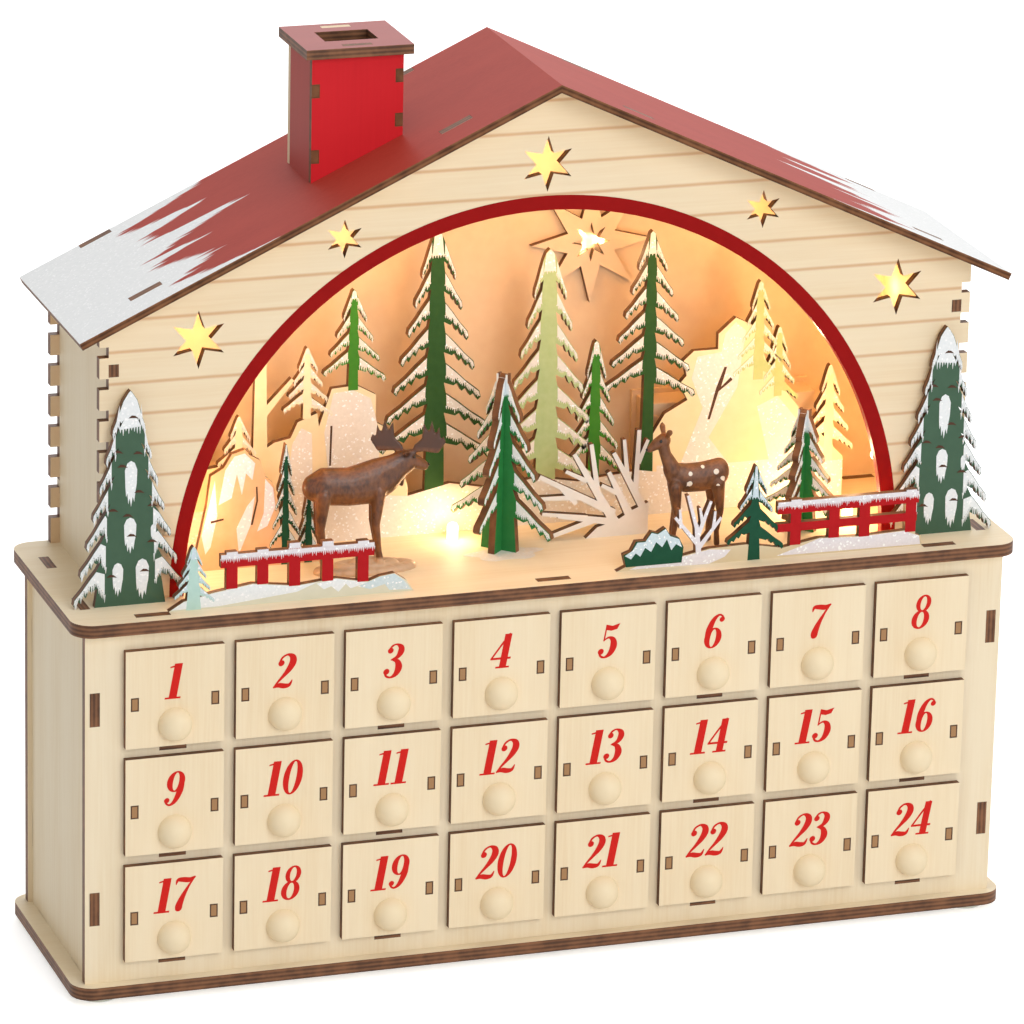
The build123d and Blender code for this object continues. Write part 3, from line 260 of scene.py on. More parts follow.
def scorched_colour(tree, place, across):
    """A laser-cut edge: brown, with darker glue lines between the plies."""
    depth = put(
        tree, "ShaderNodeVectorMath", {"operation": "DOT_PRODUCT"}, {0: place.outputs["Object"], 1: across},
    )
    plies = put(
        tree, "ShaderNodeMath", {"operation": "MULTIPLY"},
        {0: depth.outputs["Value"], 1: 2 * math.pi / (glue_pitch * mm)},
    )
    wave = put(tree, "ShaderNodeMath", {"operation": "SINE"}, {0: plies.outputs[0]})
    cloud = put(
        tree, "ShaderNodeTexNoise", None,
        {"Vector": place.outputs["Object"], "Scale": 1 / (6 * mm), "Detail": 3},
    )
    level = put(
        tree, "ShaderNodeMath", {"operation": "MULTIPLY_ADD"},
        {0: wave.outputs[0], 1: 0.22, 2: cloud.outputs[0]},
    )
    share = put(
        tree, "ShaderNodeMapRange", None, {"Value": level.outputs[0], "From Min": 0.2, "From Max": 0.8},
    )
    tint = put(
        tree, "ShaderNodeMix", {"data_type": "RGBA"},
        {0: share.outputs[0], 6: linear("#4A2D1A"), 7: linear("#86593A")},
    )
    return tint.outputs[2]


def faces_along(tree, place, across, least=0.6):
    """1 where the surface looks along a direction, 0 elsewhere."""
    turn = put(
        tree, "ShaderNodeVectorMath", {"operation": "DOT_PRODUCT"}, {0: place.outputs["Normal"], 1: across},
    )
    return put(
        tree, "ShaderNodeMath", {"operation": "GREATER_THAN"}, {0: turn.outputs["Value"], 1: least},
    ).outputs[0]


def finish_wood(tree, shader, colour, relief, gloss=0.35):
    """Sanded wood under thin matt varnish: rather rough, with the grain just felt."""
    tree.links.new(colour, shader.inputs["Base Color"])
    shader.inputs["Roughness"].default_value = 0.55
    shader.inputs["Specular IOR Level"].default_value = gloss
    bump = put(tree, "ShaderNodeBump", None, {"Strength": 0.12, "Distance": 0.05 * mm, "Height": relief})
    tree.links.new(bump.outputs[0], shader.inputs["Normal"])


def birch_plywood(name, across, along, pale="#F1E1C3", streak="#E0C79C", front=None):
    """Birch sheet that lies square to a direction, with paint on its front if that is given."""
    made, tree, shader = new_material(name)
    place = put(tree, "ShaderNodeTexCoord")
    wood, relief = wood_colour(tree, place, along, pale, streak)
    toward = faces_along(tree, place, across)
    away = faces_along(tree, place, [-a for a in across])
    face = put(tree, "ShaderNodeMath", {"operation": "MAXIMUM"}, {0: toward, 1: away}).outputs[0]
    colour = put(
        tree, "ShaderNodeMix", {"data_type": "RGBA"},
        {0: face, 6: scorched_colour(tree, place, across), 7: wood},
    ).outputs[2]
    if front:
        speck = put(
            tree, "ShaderNodeTexNoise", None,
            {"Vector": place.outputs["Object"], "Scale": 1 / (5 * mm), "Detail": 3},
        )
        paint = put(
            tree, "ShaderNodeMix", {"data_type": "RGBA"},
            {0: speck.outputs[0], 6: linear(front[0]), 7: linear(front[1])},
        )
        colour = put(
            tree, "ShaderNodeMix", {"data_type": "RGBA"}, {0: away, 6: colour, 7: paint.outputs[2]},
        ).outputs[2]
    finish_wood(tree, shader, colour, relief)
    return made


facing_y, facing_x, facing_z = (0, 1, 0), (1, 0, 0), (0, 0, 1)
board_birch = birch_plywood("birch_board", facing_z, 0)
upright_birch = birch_plywood("birch_upright_sheet", facing_y, 2)
flank_birch = birch_plywood("birch_flank_sheet", facing_x, 2)
shelf_birch = birch_plywood("birch_shelf", facing_z, 0)
for node in ("base_board", "top_board"):
    dress(node, board_birch)
for node in ("cabinet_front", "cabinet_back"):
    dress(node, upright_birch)
# The back wall's front is painted peach: a painted warm glow of the lights inside, added to what the lamps
# give.
dress("house_back", birch_plywood("birch_back_wall_painted_glow", facing_y, 2, front=("#E2C29C", "#EACFAC")))
for node in (
    "cabinet_left_side", "cabinet_right_side", "house_left_wall", "house_right_wall", "drawer_dividers",
):
    dress(node, flank_birch)
dress("drawer_shelves", shelf_birch)
print("birch on", sum(m.name.startswith("birch") for m in bpy.data.materials), "kinds of sheet")

# %% [markdown]
# ## Drawers
# Each drawer is one node: a front, a box and a turned knob. The places of the pieces are known, so one
# finish serves all 24. In front of the panel there is only the knob. In the panel's thickness a surface that
# doesn't look forward is a cut edge. The ends of the box's tabs show as small brown rectangles.

# %% Drawer finish
first_drawer, last_row_drawer = span("drawer_01")[0], span("drawer_24")[0]
column_pitch = span("drawer_02")[0].x - first_drawer.x
row_pitch = first_drawer.z - span("drawer_09")[0].z
front_wide = 40.55
front_high = 41.0
front_lap = 0.3
tab_out = 16.5
tab_wide = 2.6
tab_high = 5.0
tab_rise = 18.3
box_high = 36.6


def drawer_centre(number):
    """Middle of a drawer's front panel, across and up."""
    low = span(f"drawer_{number:02d}")[0]
    return low.x + front_wide / 2, low.z + front_high / 2


def drawer_finish(name):
    """Birch drawer: pale panel and knob, brown cut edges and brown tab ends."""
    made, tree, shader = new_material(name)
    place = put(tree, "ShaderNodeTexCoord")
    wood, relief = wood_colour(tree, place, 2, "#F3E1C0", "#E4C99E")
    spot = put(tree, "ShaderNodeSeparateXYZ", None, {0: place.outputs["Object"]})
    turn = put(tree, "ShaderNodeSeparateXYZ", None, {0: place.outputs["Normal"]})
    level = [
        put(tree, "ShaderNodeMath", {"operation": "ABSOLUTE"}, {0: turn.outputs[axis]}).outputs[0]
        for axis in range(3)
    ]
    in_knob = put(
        tree, "ShaderNodeMath", {"operation": "LESS_THAN"},
        {0: spot.outputs[1], 1: (front_y - ply_thick - slack) * mm},
    ).outputs[0]
    in_box = put(
        tree, "ShaderNodeMath", {"operation": "GREATER_THAN"},
        {0: spot.outputs[1], 1: (front_y + slack) * mm},
    ).outputs[0]
    side_on = put(tree, "ShaderNodeMath", {"operation": "LESS_THAN"}, {0: level[1], 1: 0.5}).outputs[0]
    outside = put(tree, "ShaderNodeMath", {"operation": "MAXIMUM"}, {0: in_knob, 1: in_box}).outputs[0]
    panel_edge = put(
        tree, "ShaderNodeMath", {"operation": "SUBTRACT", "use_clamp": True}, {0: side_on, 1: outside},
    ).outputs[0]
    column_x = put(
        tree, "ShaderNodeMath", {"operation": "ADD"}, {0: spot.outputs[0], 1: 4 * column_pitch * mm},
    ).outputs[0]
    column_x = put(
        tree, "ShaderNodeMath", {"operation": "MODULO"}, {0: column_x, 1: column_pitch * mm},
    ).outputs[0]
    column_x = put(
        tree, "ShaderNodeMath", {"operation": "SUBTRACT"}, {0: column_x, 1: column_pitch / 2 * mm},
    ).outputs[0]
    column_x = put(tree, "ShaderNodeMath", {"operation": "ABSOLUTE"}, {0: column_x}).outputs[0]
    shelf_z = (last_row_drawer.z + front_lap) * mm
    row_z = put(
        tree, "ShaderNodeMath", {"operation": "SUBTRACT"}, {0: spot.outputs[2], 1: shelf_z},
    ).outputs[0]
    row_z = put(tree, "ShaderNodeMath", {"operation": "MODULO"}, {0: row_z, 1: row_pitch * mm}).outputs[0]
    rim = put(
        tree, "ShaderNodeMath", {"operation": "GREATER_THAN"}, {0: row_z, 1: (box_high - 0.4) * mm},
    ).outputs[0]
    rim = put(tree, "ShaderNodeMath", {"operation": "MULTIPLY"}, {0: rim, 1: level[2]}).outputs[0]
    rim = put(tree, "ShaderNodeMath", {"operation": "MULTIPLY"}, {0: rim, 1: in_box}).outputs[0]
    edge = put(tree, "ShaderNodeMath", {"operation": "MAXIMUM"}, {0: panel_edge, 1: rim}).outputs[0]
    knob_wood = put(
        tree, "ShaderNodeMix", {"data_type": "RGBA"}, {0: in_knob, 6: wood, 7: linear("#F0DDB9")},
    ).outputs[2]
    tabbed = knob_wood
    for margin, shade in ((0.35, "#4A2F1B"), (-0.2, "#A67C53")):
        tab_x = put(
            tree, "ShaderNodeMath", {"operation": "COMPARE"},
            {0: column_x, 1: tab_out * mm, 2: (tab_wide / 2 + margin) * mm},
        ).outputs[0]
        tab_z = put(
            tree, "ShaderNodeMath", {"operation": "COMPARE"},
            {0: row_z, 1: tab_rise * mm, 2: (tab_high / 2 + margin) * mm},
        ).outputs[0]
        tab = put(tree, "ShaderNodeMath", {"operation": "MULTIPLY"}, {0: tab_x, 1: tab_z}).outputs[0]
        tab = put(
            tree, "ShaderNodeMath", {"operation": "SUBTRACT", "use_clamp": True}, {0: tab, 1: outside},
        ).outputs[0]
        tabbed = put(
            tree, "ShaderNodeMix", {"data_type": "RGBA"}, {0: tab, 6: tabbed, 7: linear(shade)},
        ).outputs[2]
    colour = put(
        tree, "ShaderNodeMix", {"data_type": "RGBA"},
        {0: edge, 6: tabbed, 7: scorched_colour(tree, place, facing_y)},
    ).outputs[2]
    finish_wood(tree, shader, colour, relief)
    return made


drawer_birch = drawer_finish("birch_drawer")
drawer_names = [f"drawer_{number:02d}" for number in range(1, 25)]
for node in drawer_names:
    dress(node, drawer_birch)
print(f"24 drawers on a pitch of {column_pitch:.1f} by {row_pitch:.1f} mm")

# %% [markdown]
# ## Log siding
# The gable is one sheet, but shallow brown lines are burnt across it, one to each log end, so that it
# reads as a wall of logs. The lines follow a rule, the distance to the nearest multiple of the log's
# height, so they are part of the wood's colour.

# %% Gable
log_pitch = 12.95
log_line = 0.55
line_wander, wander_long = 0.25, 9
line_strength = 0.62
arch_round = 149.0
gable_birch = birch_plywood("birch_log_siding", facing_y, 0, "#F2DFBE", "#E6CBA1")
tree = gable_birch.node_tree
shader = next(n for n in tree.nodes if n.type == "BSDF_PRINCIPLED")
place = put(tree, "ShaderNodeTexCoord")
spot = put(tree, "ShaderNodeSeparateXYZ", None, {0: place.outputs["Object"]})
rise_plain = put(tree, "ShaderNodeMath", {"operation": "SUBTRACT"}, {0: spot.outputs[2], 1: scene_z * mm})
wander = put(
    tree, "ShaderNodeTexNoise", None,
    {"Vector": place.outputs["Object"], "Scale": 1 / (wander_long * mm), "Detail": 2},
)
rise = put(
    tree, "ShaderNodeMath", {"operation": "MULTIPLY_ADD"},
    {0: wander.outputs[0], 1: line_wander * mm, 2: rise_plain.outputs[0]},
)
gap = put(tree, "ShaderNodeMath", {"operation": "PINGPONG"}, {0: rise.outputs[0], 1: log_pitch / 2 * mm})
line = put(
    tree, "ShaderNodeMapRange", None,
    {
        "Value": gap.outputs[0], "From Min": log_line * 0.4 * mm, "From Max": log_line * 1.9 * mm,
        "To Min": 1, "To Max": 0,
    },
)
shown = put(
    tree, "ShaderNodeMath", {"operation": "MULTIPLY"},
    {0: line.outputs[0], 1: faces_along(tree, place, (0, -1, 0))},
)
shown = put(tree, "ShaderNodeMath", {"operation": "MULTIPLY"}, {0: shown.outputs[0], 1: line_strength})
under = shader.inputs["Base Color"].links[0].from_socket
lined = put(
    tree, "ShaderNodeMix", {"data_type": "RGBA"}, {0: shown.outputs[0], 6: under, 7: linear("#CB9560")},
)
flat = put(tree, "ShaderNodeCombineXYZ", None, {0: spot.outputs[0], 1: rise_plain.outputs[0]})
from_middle = put(tree, "ShaderNodeVectorMath", {"operation": "LENGTH"}, {0: flat.outputs[0]})
in_arch = put(
    tree, "ShaderNodeMath", {"operation": "COMPARE"},
    {0: from_middle.outputs["Value"], 1: arch_round * mm, 2: 0.3 * mm},
)
arched = put(
    tree, "ShaderNodeMix", {"data_type": "RGBA"},
    {0: in_arch.outputs[0], 6: lined.outputs[2], 7: linear("#8E1210")},
)
tree.links.new(arched.outputs[2], shader.inputs["Base Color"])
dress("house_front", gable_birch)
print(f"siding lines every {log_pitch} mm")

# %% [markdown]
# ## Roof and chimney
# The roof boards are stained a dull red, and white snow paint with glitter was dragged up from the eaves
# with a dry brush, which leaves pointed streaks. The snow's edge is a rule along the eaves: a triangle
# wave, with uneven heights, that gives the points, and fine streaks along the slope that break up the
# border.

# %% Roof and chimney
roof_fall, eave_reach = 91.5, 195.6
roof_slope = roof_fall / eave_reach
snow_full = 156.0
snow_point = 44.0
point_pitch = 9.0
wobble_long, wobble_wide = 16, 22
tall_long = 12
brush_long, brush_wide = 45, 0.8
ragged_wide = 26
glitter_wide, glitter_least = 0.7, 0.93


def snow_sparkle(tree, place):
    """Glitter in white paint: tiny flakes that are smoother than the paint around them."""
    flakes = put(
        tree, "ShaderNodeTexVoronoi", None,
        {"Vector": place.outputs["Object"], "Scale": 1 / (glitter_wide * mm)},
    )
    bright = put(tree, "ShaderNodeSeparateColor", None, {0: flakes.outputs["Color"]})
    glint = put(
        tree, "ShaderNodeMath", {"operation": "GREATER_THAN"},
        {0: bright.outputs[0], 1: glitter_least},
    )
    return glint.outputs[0]


def roof_finish(name, side):
    """Red stain on the upper face with snow towards the eave, bare birch below, brown edges."""
    made, tree, shader = new_material(name)
    place = put(tree, "ShaderNodeTexCoord")
    out = Vector((side * roof_slope, 0, 1)).normalized()
    wood, relief = wood_colour(tree, place, 0, "#EDDABB", "#DDC094")
    stain = wood_colour(tree, place, 0, "#AC3F32", "#963026")[0]
    spot = put(tree, "ShaderNodeSeparateXYZ", None, {0: place.outputs["Object"]})
    reach = put(tree, "ShaderNodeMath", {"operation": "ABSOLUTE"}, {0: spot.outputs[0]})
    wobble = put(
        tree, "ShaderNodeTexNoise", {"noise_dimensions": "1D"},
        {"W": spot.outputs[1], "Scale": 1 / (wobble_long * mm), "Detail": 1},
    )
    shift = put(
        tree, "ShaderNodeMath", {"operation": "MULTIPLY_ADD"},
        {0: wobble.outputs[0], 1: wobble_wide * mm, 2: spot.outputs[1]},
    )
    wave = put(tree, "ShaderNodeMath", {"operation": "PINGPONG"}, {0: shift.outputs[0], 1: point_pitch * mm})
    tall = put(
        tree, "ShaderNodeTexNoise", {"noise_dimensions": "1D"},
        {"W": spot.outputs[1], "Scale": 1 / (tall_long * mm), "Detail": 0},
    )
    tall = put(
        tree, "ShaderNodeMapRange", None,
        {"Value": tall.outputs[0], "From Min": 0.3, "From Max": 0.7, "To Min": 0.25},
    )
    point = put(tree, "ShaderNodeMath", {"operation": "MULTIPLY"}, {0: wave.outputs[0], 1: tall.outputs[0]})
    point = put(
        tree, "ShaderNodeMath", {"operation": "MULTIPLY_ADD"},
        {0: point.outputs[0], 1: -snow_point / point_pitch, 2: snow_full * mm},
    )
    brushed = put(
        tree, "ShaderNodeMapping", None,
        {
            "Vector": place.outputs["Object"],
            "Scale": (1 / (brush_long * mm), 1 / (brush_wide * mm), 1 / (brush_long * mm)),
        },
    )
    streak = put(tree, "ShaderNodeTexNoise", None, {"Vector": brushed.outputs[0], "Scale": 1, "Detail": 3})
    ragged = put(
        tree, "ShaderNodeMath", {"operation": "MULTIPLY_ADD"},
        {0: streak.outputs[0], 1: ragged_wide * mm, 2: -ragged_wide / 2 * mm},
    )
    past = put(tree, "ShaderNodeMath", {"operation": "SUBTRACT"}, {0: reach.outputs[0], 1: point.outputs[0]})
    past = put(tree, "ShaderNodeMath", {"operation": "ADD"}, {0: past.outputs[0], 1: ragged.outputs[0]})
    snow = put(
        tree, "ShaderNodeMapRange", None,
        {"Value": past.outputs[0], "From Min": -0.6 * mm, "From Max": 1.6 * mm},
    )
    crust = put(
        tree, "ShaderNodeTexNoise", None,
        {"Vector": place.outputs["Object"], "Scale": 1 / (1.6 * mm), "Detail": 3},
    )
    white = put(
        tree, "ShaderNodeMix", {"data_type": "RGBA"},
        {0: crust.outputs[0], 6: linear("#E9EBEB"), 7: linear("#FAFAF9")},
    )
    glint = snow_sparkle(tree, place)
    white = put(
        tree, "ShaderNodeMix", {"data_type": "RGBA"}, {0: glint, 6: white.outputs[2], 7: linear("#FFFFFF")},
    )
    painted = put(
        tree, "ShaderNodeMix", {"data_type": "RGBA"}, {0: snow.outputs[0], 6: stain, 7: white.outputs[2]},
    )
    edged = put(
        tree, "ShaderNodeMix", {"data_type": "RGBA"},
        {0: faces_along(tree, place, -out), 6: scorched_colour(tree, place, out), 7: wood},
    )
    colour = put(
        tree, "ShaderNodeMix", {"data_type": "RGBA"},
        {0: faces_along(tree, place, out), 6: edged.outputs[2], 7: painted.outputs[2]},
    )
    rough = put(tree, "ShaderNodeMath", {"operation": "MULTIPLY"}, {0: crust.outputs[0], 1: snow.outputs[0]})
    height = put(tree, "ShaderNodeMath", {"operation": "ADD"}, {0: rough.outputs[0], 1: relief})
    finish_wood(tree, shader, colour.outputs[2], height.outputs[0], 0.15)
    return made


dress("roof_left", roof_finish("stained_birch_roof_left", -1))
dress("roof_right", roof_finish("stained_birch_roof_right", 1))
chimney_tab_shares, chimney_tab_high = (0.27, 0.8), 5.6
chimney_low, chimney_high = span("chimney_walls")
chimney_top_z = span("chimney_cap")[0].z
roof_ridge_z = span("roof_left")[1].z


def chimney_finish(name):
    """Bright red front, darker duller red flanks as painted shade, brown front edges and a bare back plate.
    """
    made, tree, shader = new_material(name)
    place = put(tree, "ShaderNodeTexCoord")
    front, relief = wood_colour(tree, place, 2, "#D4222A", "#C91C25")
    # The flanks are a darker, browner red than the front: painted shade for the sides that face away from
    # the light.
    flank = wood_colour(tree, place, 2, "#B0463C", "#9C3A32")[0]
    bare = wood_colour(tree, place, 2, "#EBD6B4", "#DDC196")[0]
    spot = put(tree, "ShaderNodeSeparateXYZ", None, {0: place.outputs["Object"]})
    for x in (chimney_low.x + ply_thick / 2, chimney_high.x - ply_thick / 2):
        near = put(
            tree, "ShaderNodeMath", {"operation": "COMPARE"},
            {0: spot.outputs[0], 1: x * mm, 2: (ply_thick / 2 + 0.3) * mm},
        )
        for share in chimney_tab_shares:
            level = chimney_top_z - (chimney_top_z - roof_ridge_z - roof_slope * x) * share
            tab = put(
                tree, "ShaderNodeMath", {"operation": "COMPARE"},
                {0: spot.outputs[2], 1: level * mm, 2: chimney_tab_high / 2 * mm},
            )
            tab = put(
                tree, "ShaderNodeMath", {"operation": "MULTIPLY"}, {0: near.outputs[0], 1: tab.outputs[0]},
            )
            front = put(
                tree, "ShaderNodeMix", {"data_type": "RGBA"},
                {0: tab.outputs[0], 6: front, 7: scorched_colour(tree, place, facing_y)},
            ).outputs[2]
    sides = put(
        tree, "ShaderNodeMath", {"operation": "LESS_THAN"},
        {0: spot.outputs[1], 1: (chimney_low.y + ply_thick + slack) * mm},
    )
    flank = put(
        tree, "ShaderNodeMix", {"data_type": "RGBA"},
        {0: sides.outputs[0], 6: flank, 7: scorched_colour(tree, place, facing_y)},
    )
    colour = put(
        tree, "ShaderNodeMix", {"data_type": "RGBA"},
        {0: faces_along(tree, place, (0, -1, 0)), 6: flank.outputs[2], 7: front},
    )
    behind = put(
        tree, "ShaderNodeMath", {"operation": "GREATER_THAN"},
        {0: spot.outputs[1], 1: (chimney_high.y - ply_thick + slack) * mm},
    )
    colour = put(
        tree, "ShaderNodeMix", {"data_type": "RGBA"}, {0: behind.outputs[0], 6: colour.outputs[2], 7: bare},
    )
    inner = [
        put(
            tree, "ShaderNodeMath", {"operation": "COMPARE"},
            {
                0: spot.outputs[axis], 1: (low + high) / 2 * mm,
                2: ((high - low) / 2 - ply_thick + slack) * mm,
            },
        )
        for axis, low, high in ((0, chimney_low.x, chimney_high.x), (1, chimney_low.y, chimney_high.y))
    ]
    inside = put(
        tree, "ShaderNodeMath", {"operation": "MULTIPLY"}, {0: inner[0].outputs[0], 1: inner[1].outputs[0]},
    )
    colour = put(
        tree, "ShaderNodeMix", {"data_type": "RGBA"}, {0: inside.outputs[0], 6: colour.outputs[2], 7: bare},
    )
    finish_wood(tree, shader, colour.outputs[2], relief, 0.15)
    return made


dress("chimney_walls", chimney_finish("painted_birch_chimney"))
dress("chimney_cap", birch_plywood("stained_birch_cap", facing_z, 0, "#9E4A44", "#8C3B37"))
print("roof snow from", snow_full - snow_point, "mm out to the eaves")

# %% [markdown]
# ## Plastic, rubber and metal
# The pieces of the battery case are moulded, with the fine even grain of a spark-eroded mould. The feet are
# clear soft discs, the cells have a plain glossy sleeve, and the contacts are nickel-plated.

# %% Small parts
def moulded(name, shade, light, rough, grit, level=0.5):
    """A moulded surface: nearly one colour, with fine grit in its colour and its relief."""
    made, tree, shader = new_material(name)
    place = put(tree, "ShaderNodeTexCoord")
    grains = put(
        tree, "ShaderNodeTexNoise", None,
        {"Vector": place.outputs["Object"], "Scale": 1 / (grit * mm), "Detail": 4},
    )
    tint = put(
        tree, "ShaderNodeMix", {"data_type": "RGBA"},
        {0: grains.outputs[0], 6: linear(shade), 7: linear(light)},
    )
    tree.links.new(tint.outputs[2], shader.inputs["Base Color"])
    bump = put(
        tree, "ShaderNodeBump", None, {"Strength": 0.25, "Distance": 0.05 * mm, "Height": grains.outputs[0]},
    )
    tree.links.new(bump.outputs[0], shader.inputs["Normal"])
    shader.inputs["Roughness"].default_value = rough
    shader.inputs["Specular IOR Level"].default_value = level
    return made, shader


case_abs, shader = moulded("abs_battery_case", "#D9D6CC", "#E6E3DA", 0.45, 0.4)
switch_abs, shader = moulded("abs_black_switch", "#17171A", "#26262A", 0.4, 0.4)
sleeve, shader = moulded("cell_sleeve", "#23262C", "#343841", 0.25, 2.0)
nickel, shader = moulded("nickel_contact", "#B9B5A9", "#CFCBC0", 0.3, 0.6)
shader.inputs["Metallic"].default_value = 1
foot_rubber, shader = moulded("clear_silicone_foot", "#DADFD2", "#E8ECE0", 0.35, 1.2)
shader.inputs["Transmission Weight"].default_value = 0.25
for node, finish in (
    ("battery_cover", case_abs), ("switch_slider", switch_abs),
    ("battery_cells", sleeve), ("battery_contacts", nickel), ("rubber_feet", foot_rubber),
):
    dress(node, finish)
# The part of the case inside the cottage takes the back wall's peach: a painted warm glow, so that it
# matches the wall.
glow_painted_abs, shader = moulded("abs_case_with_painted_glow", "#D9D6CC", "#E6E3DA", 0.5, 0.4, 0.2)
tree = glow_painted_abs.node_tree
place = put(tree, "ShaderNodeTexCoord")
spot = put(tree, "ShaderNodeSeparateXYZ", None, {0: place.outputs["Object"]})
indoors = put(
    tree, "ShaderNodeMath", {"operation": "LESS_THAN"}, {0: spot.outputs[1], 1: (house_back_y + slack) * mm},
)
bare = shader.inputs["Base Color"].links[0].from_socket
painted_glow = put(
    tree, "ShaderNodeMix", {"data_type": "RGBA"}, {0: indoors.outputs[0], 6: bare, 7: linear("#E6C8A4")},
)
tree.links.new(painted_glow.outputs[2], shader.inputs["Base Color"])
dress("battery_case", glow_painted_abs)
print("six small finishes")

# %% [markdown]
# ## Paint on the plates
# The scenery is cut from plain sheet and printed on its front. Each colour is a very thin sheet of its
# own that lies on the plate, later colours over earlier ones. Several outlines can overlap, so they are
# joined by a constrained triangulation: it keeps the triangles that lie inside an outline and outside
# every hole.

# %% Paint sheets
paint_lift, layer_step, paint_sink = 0.08, 0.05, 0.02


class Face:
    """A flat face to paint: where its middle is, and its own directions across, up and out."""

    def __init__(self, at, across, up):
        self.at, self.across, self.up = Vector(at), Vector(across), Vector(up)
        self.out = self.across.cross(self.up)

    def point(self, x, z, lift):
        return (self.at + self.across * x + self.up * z + self.out * lift) * mm


def front_face(x, y):
    """The front of an upright plate on the floor of the scene."""
    return Face((x, y, scene_z), (1, 0, 0), (0, 0, 1))


def new_piece(name, points, faces, material, body="calendar"):
    """A finished piece: its mesh at the origin, its material, and the body it rides on."""
    mesh = bpy.data.meshes.new(name)
    mesh.from_pydata(points, [], faces)
    mesh.materials.append(material)
    piece = bpy.data.objects.new(name, mesh)
    bpy.context.scene.collection.objects.link(piece)
    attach(piece, body)
    return piece


def turned_left(outline):
    """The outline, run through so that its inside is on the left."""
    area = sum(a[0] * b[1] - b[0] * a[1] for a, b in zip(outline, [*outline[1:], outline[0]]))
    return list(outline) if area > 0 else list(reversed(outline))


def paint_sheet(name, outlines, face, layer, material, holes=(), body="calendar"):
    """Lay a thin closed sheet of paint on a face; a higher layer covers a lower one."""
    coords, loops = [], []
    for outline in [*outlines, *holes]:
        loops.append(list(range(len(coords), len(coords) + len(outline))))
        coords += [Vector(point) for point in turned_left(outline)]
    flat, _, triangles, _, _, face_from = delaunay_2d_cdt(coords, [], loops, 1, 1e-5)
    kept = [
        triangle for triangle, owners in zip(triangles, face_from)
        if owners and max(owners) < len(outlines)
    ]
    used = {}
    for triangle in kept:
        for a, b in zip(triangle, [*triangle[1:], triangle[0]]):
            used[(a, b)] = True
    rim = [(a, b) for a, b in used if (b, a) not in used]
    count = len(flat)
    points = [face.point(p.x, p.y, paint_lift + layer_step * layer) for p in flat]
    points += [face.point(p.x, p.y, -paint_sink) for p in flat]
    faces = [tuple(triangle) for triangle in kept]
    faces += [tuple(i + count for i in reversed(triangle)) for triangle in kept]
    faces += [(b, a, a + count, b + count) for a, b in rim]
    piece = new_piece(name, points, faces, material, body)
    loose = bmesh.new()
    loose.from_mesh(piece.data)
    bmesh.ops.delete(loose, geom=[v for v in loose.verts if not v.link_faces], context="VERTS")
    loose.to_mesh(piece.data)
    loose.free()
    return piece


# %% [markdown]
# ## Paint colours
# Poster paint is nearly even, with soft brush marks. Snow is white paint with glitter: a few tiny flakes
# in it are smoother than the rest and flash.

# %% Paints
def snow_paint(name, shade, light):
    """White paint with a faint crust and glitter."""
    made, tree, shader = new_material(name)
    place = put(tree, "ShaderNodeTexCoord")
    crust = put(
        tree, "ShaderNodeTexNoise", None,
        {"Vector": place.outputs["Object"], "Scale": 1 / (1.2 * mm), "Detail": 3},
    )
    tint = put(
        tree, "ShaderNodeMix", {"data_type": "RGBA"},
        {0: crust.outputs[0], 6: linear(shade), 7: linear(light)},
    )
    glint = snow_sparkle(tree, place)
    flash = put(
        tree, "ShaderNodeMix", {"data_type": "RGBA"}, {0: glint, 6: tint.outputs[2], 7: linear("#FFFFFF")},
    )
    rough = put(tree, "ShaderNodeMapRange", None, {"Value": glint, "To Min": 0.75, "To Max": 0.15})
    bump = put(
        tree, "ShaderNodeBump", None, {"Strength": 0.4, "Distance": 0.15 * mm, "Height": crust.outputs[0]},
    )
    tree.links.new(flash.outputs[2], shader.inputs["Base Color"])
    tree.links.new(rough.outputs[0], shader.inputs["Roughness"])
    tree.links.new(bump.outputs[0], shader.inputs["Normal"])
    return made


white_snow = snow_paint("snow_paint_white", "#DDE2E4", "#F6F7F6")
# The snow inside the cottage is tinted warm: a painted glow of the lights there, added to what the lamps
# give.
glow_tinted_snow = snow_paint("snow_paint_with_painted_glow", "#DDD4C8", "#F0E9DF")
blue_snow = snow_paint("snow_paint_blue", "#B7CBD3", "#E2EDF0")
lilac_snow = snow_paint("snow_paint_lilac", "#D9D2D6", "#F1ECEE")
dark_green = moulded("poster_paint_dark_green", "#284A22", "#35592C", 0.7, 3.0, 0.15)[0]
deep_green = moulded("poster_paint_deep_green", "#174531", "#20543C", 0.7, 3.0, 0.15)[0]
mid_green = moulded("poster_paint_mid_green", "#357423", "#47882D", 0.7, 3.0, 0.15)[0]
pale_green = moulded("poster_paint_pale_green", "#A6B87C", "#BBC893", 0.7, 3.0, 0.15)[0]
cream_wash = moulded("poster_paint_cream", "#EEDDAF", "#F7EAC6", 0.65, 4.0)[0]
aqua_wash = moulded("poster_paint_aqua", "#A9CDC3", "#C3DFD6", 0.6, 3.0)[0]
fence_red = moulded("poster_paint_red", "#A90E15", "#BA171D", 0.6, 3.0, 0.15)[0]
arch_red = moulded("lacquer_red_band", "#8F0A09", "#9D100E", 0.6, 4.0, 0.1)[0]
burnt_mark = moulded("burnt_cut_mark", "#3E2313", "#55311C", 0.8, 1.0)[0]
print("poster paints and four kinds of snow")

# %% [markdown]
# ## Fir outlines
# The firs follow one rule, in the model and here: tiers of boughs whose length falls towards the top,
# with the left boughs set between the right ones. The same rule gives the snow on each bough: a cap along
# its back that stops short of the teeth.

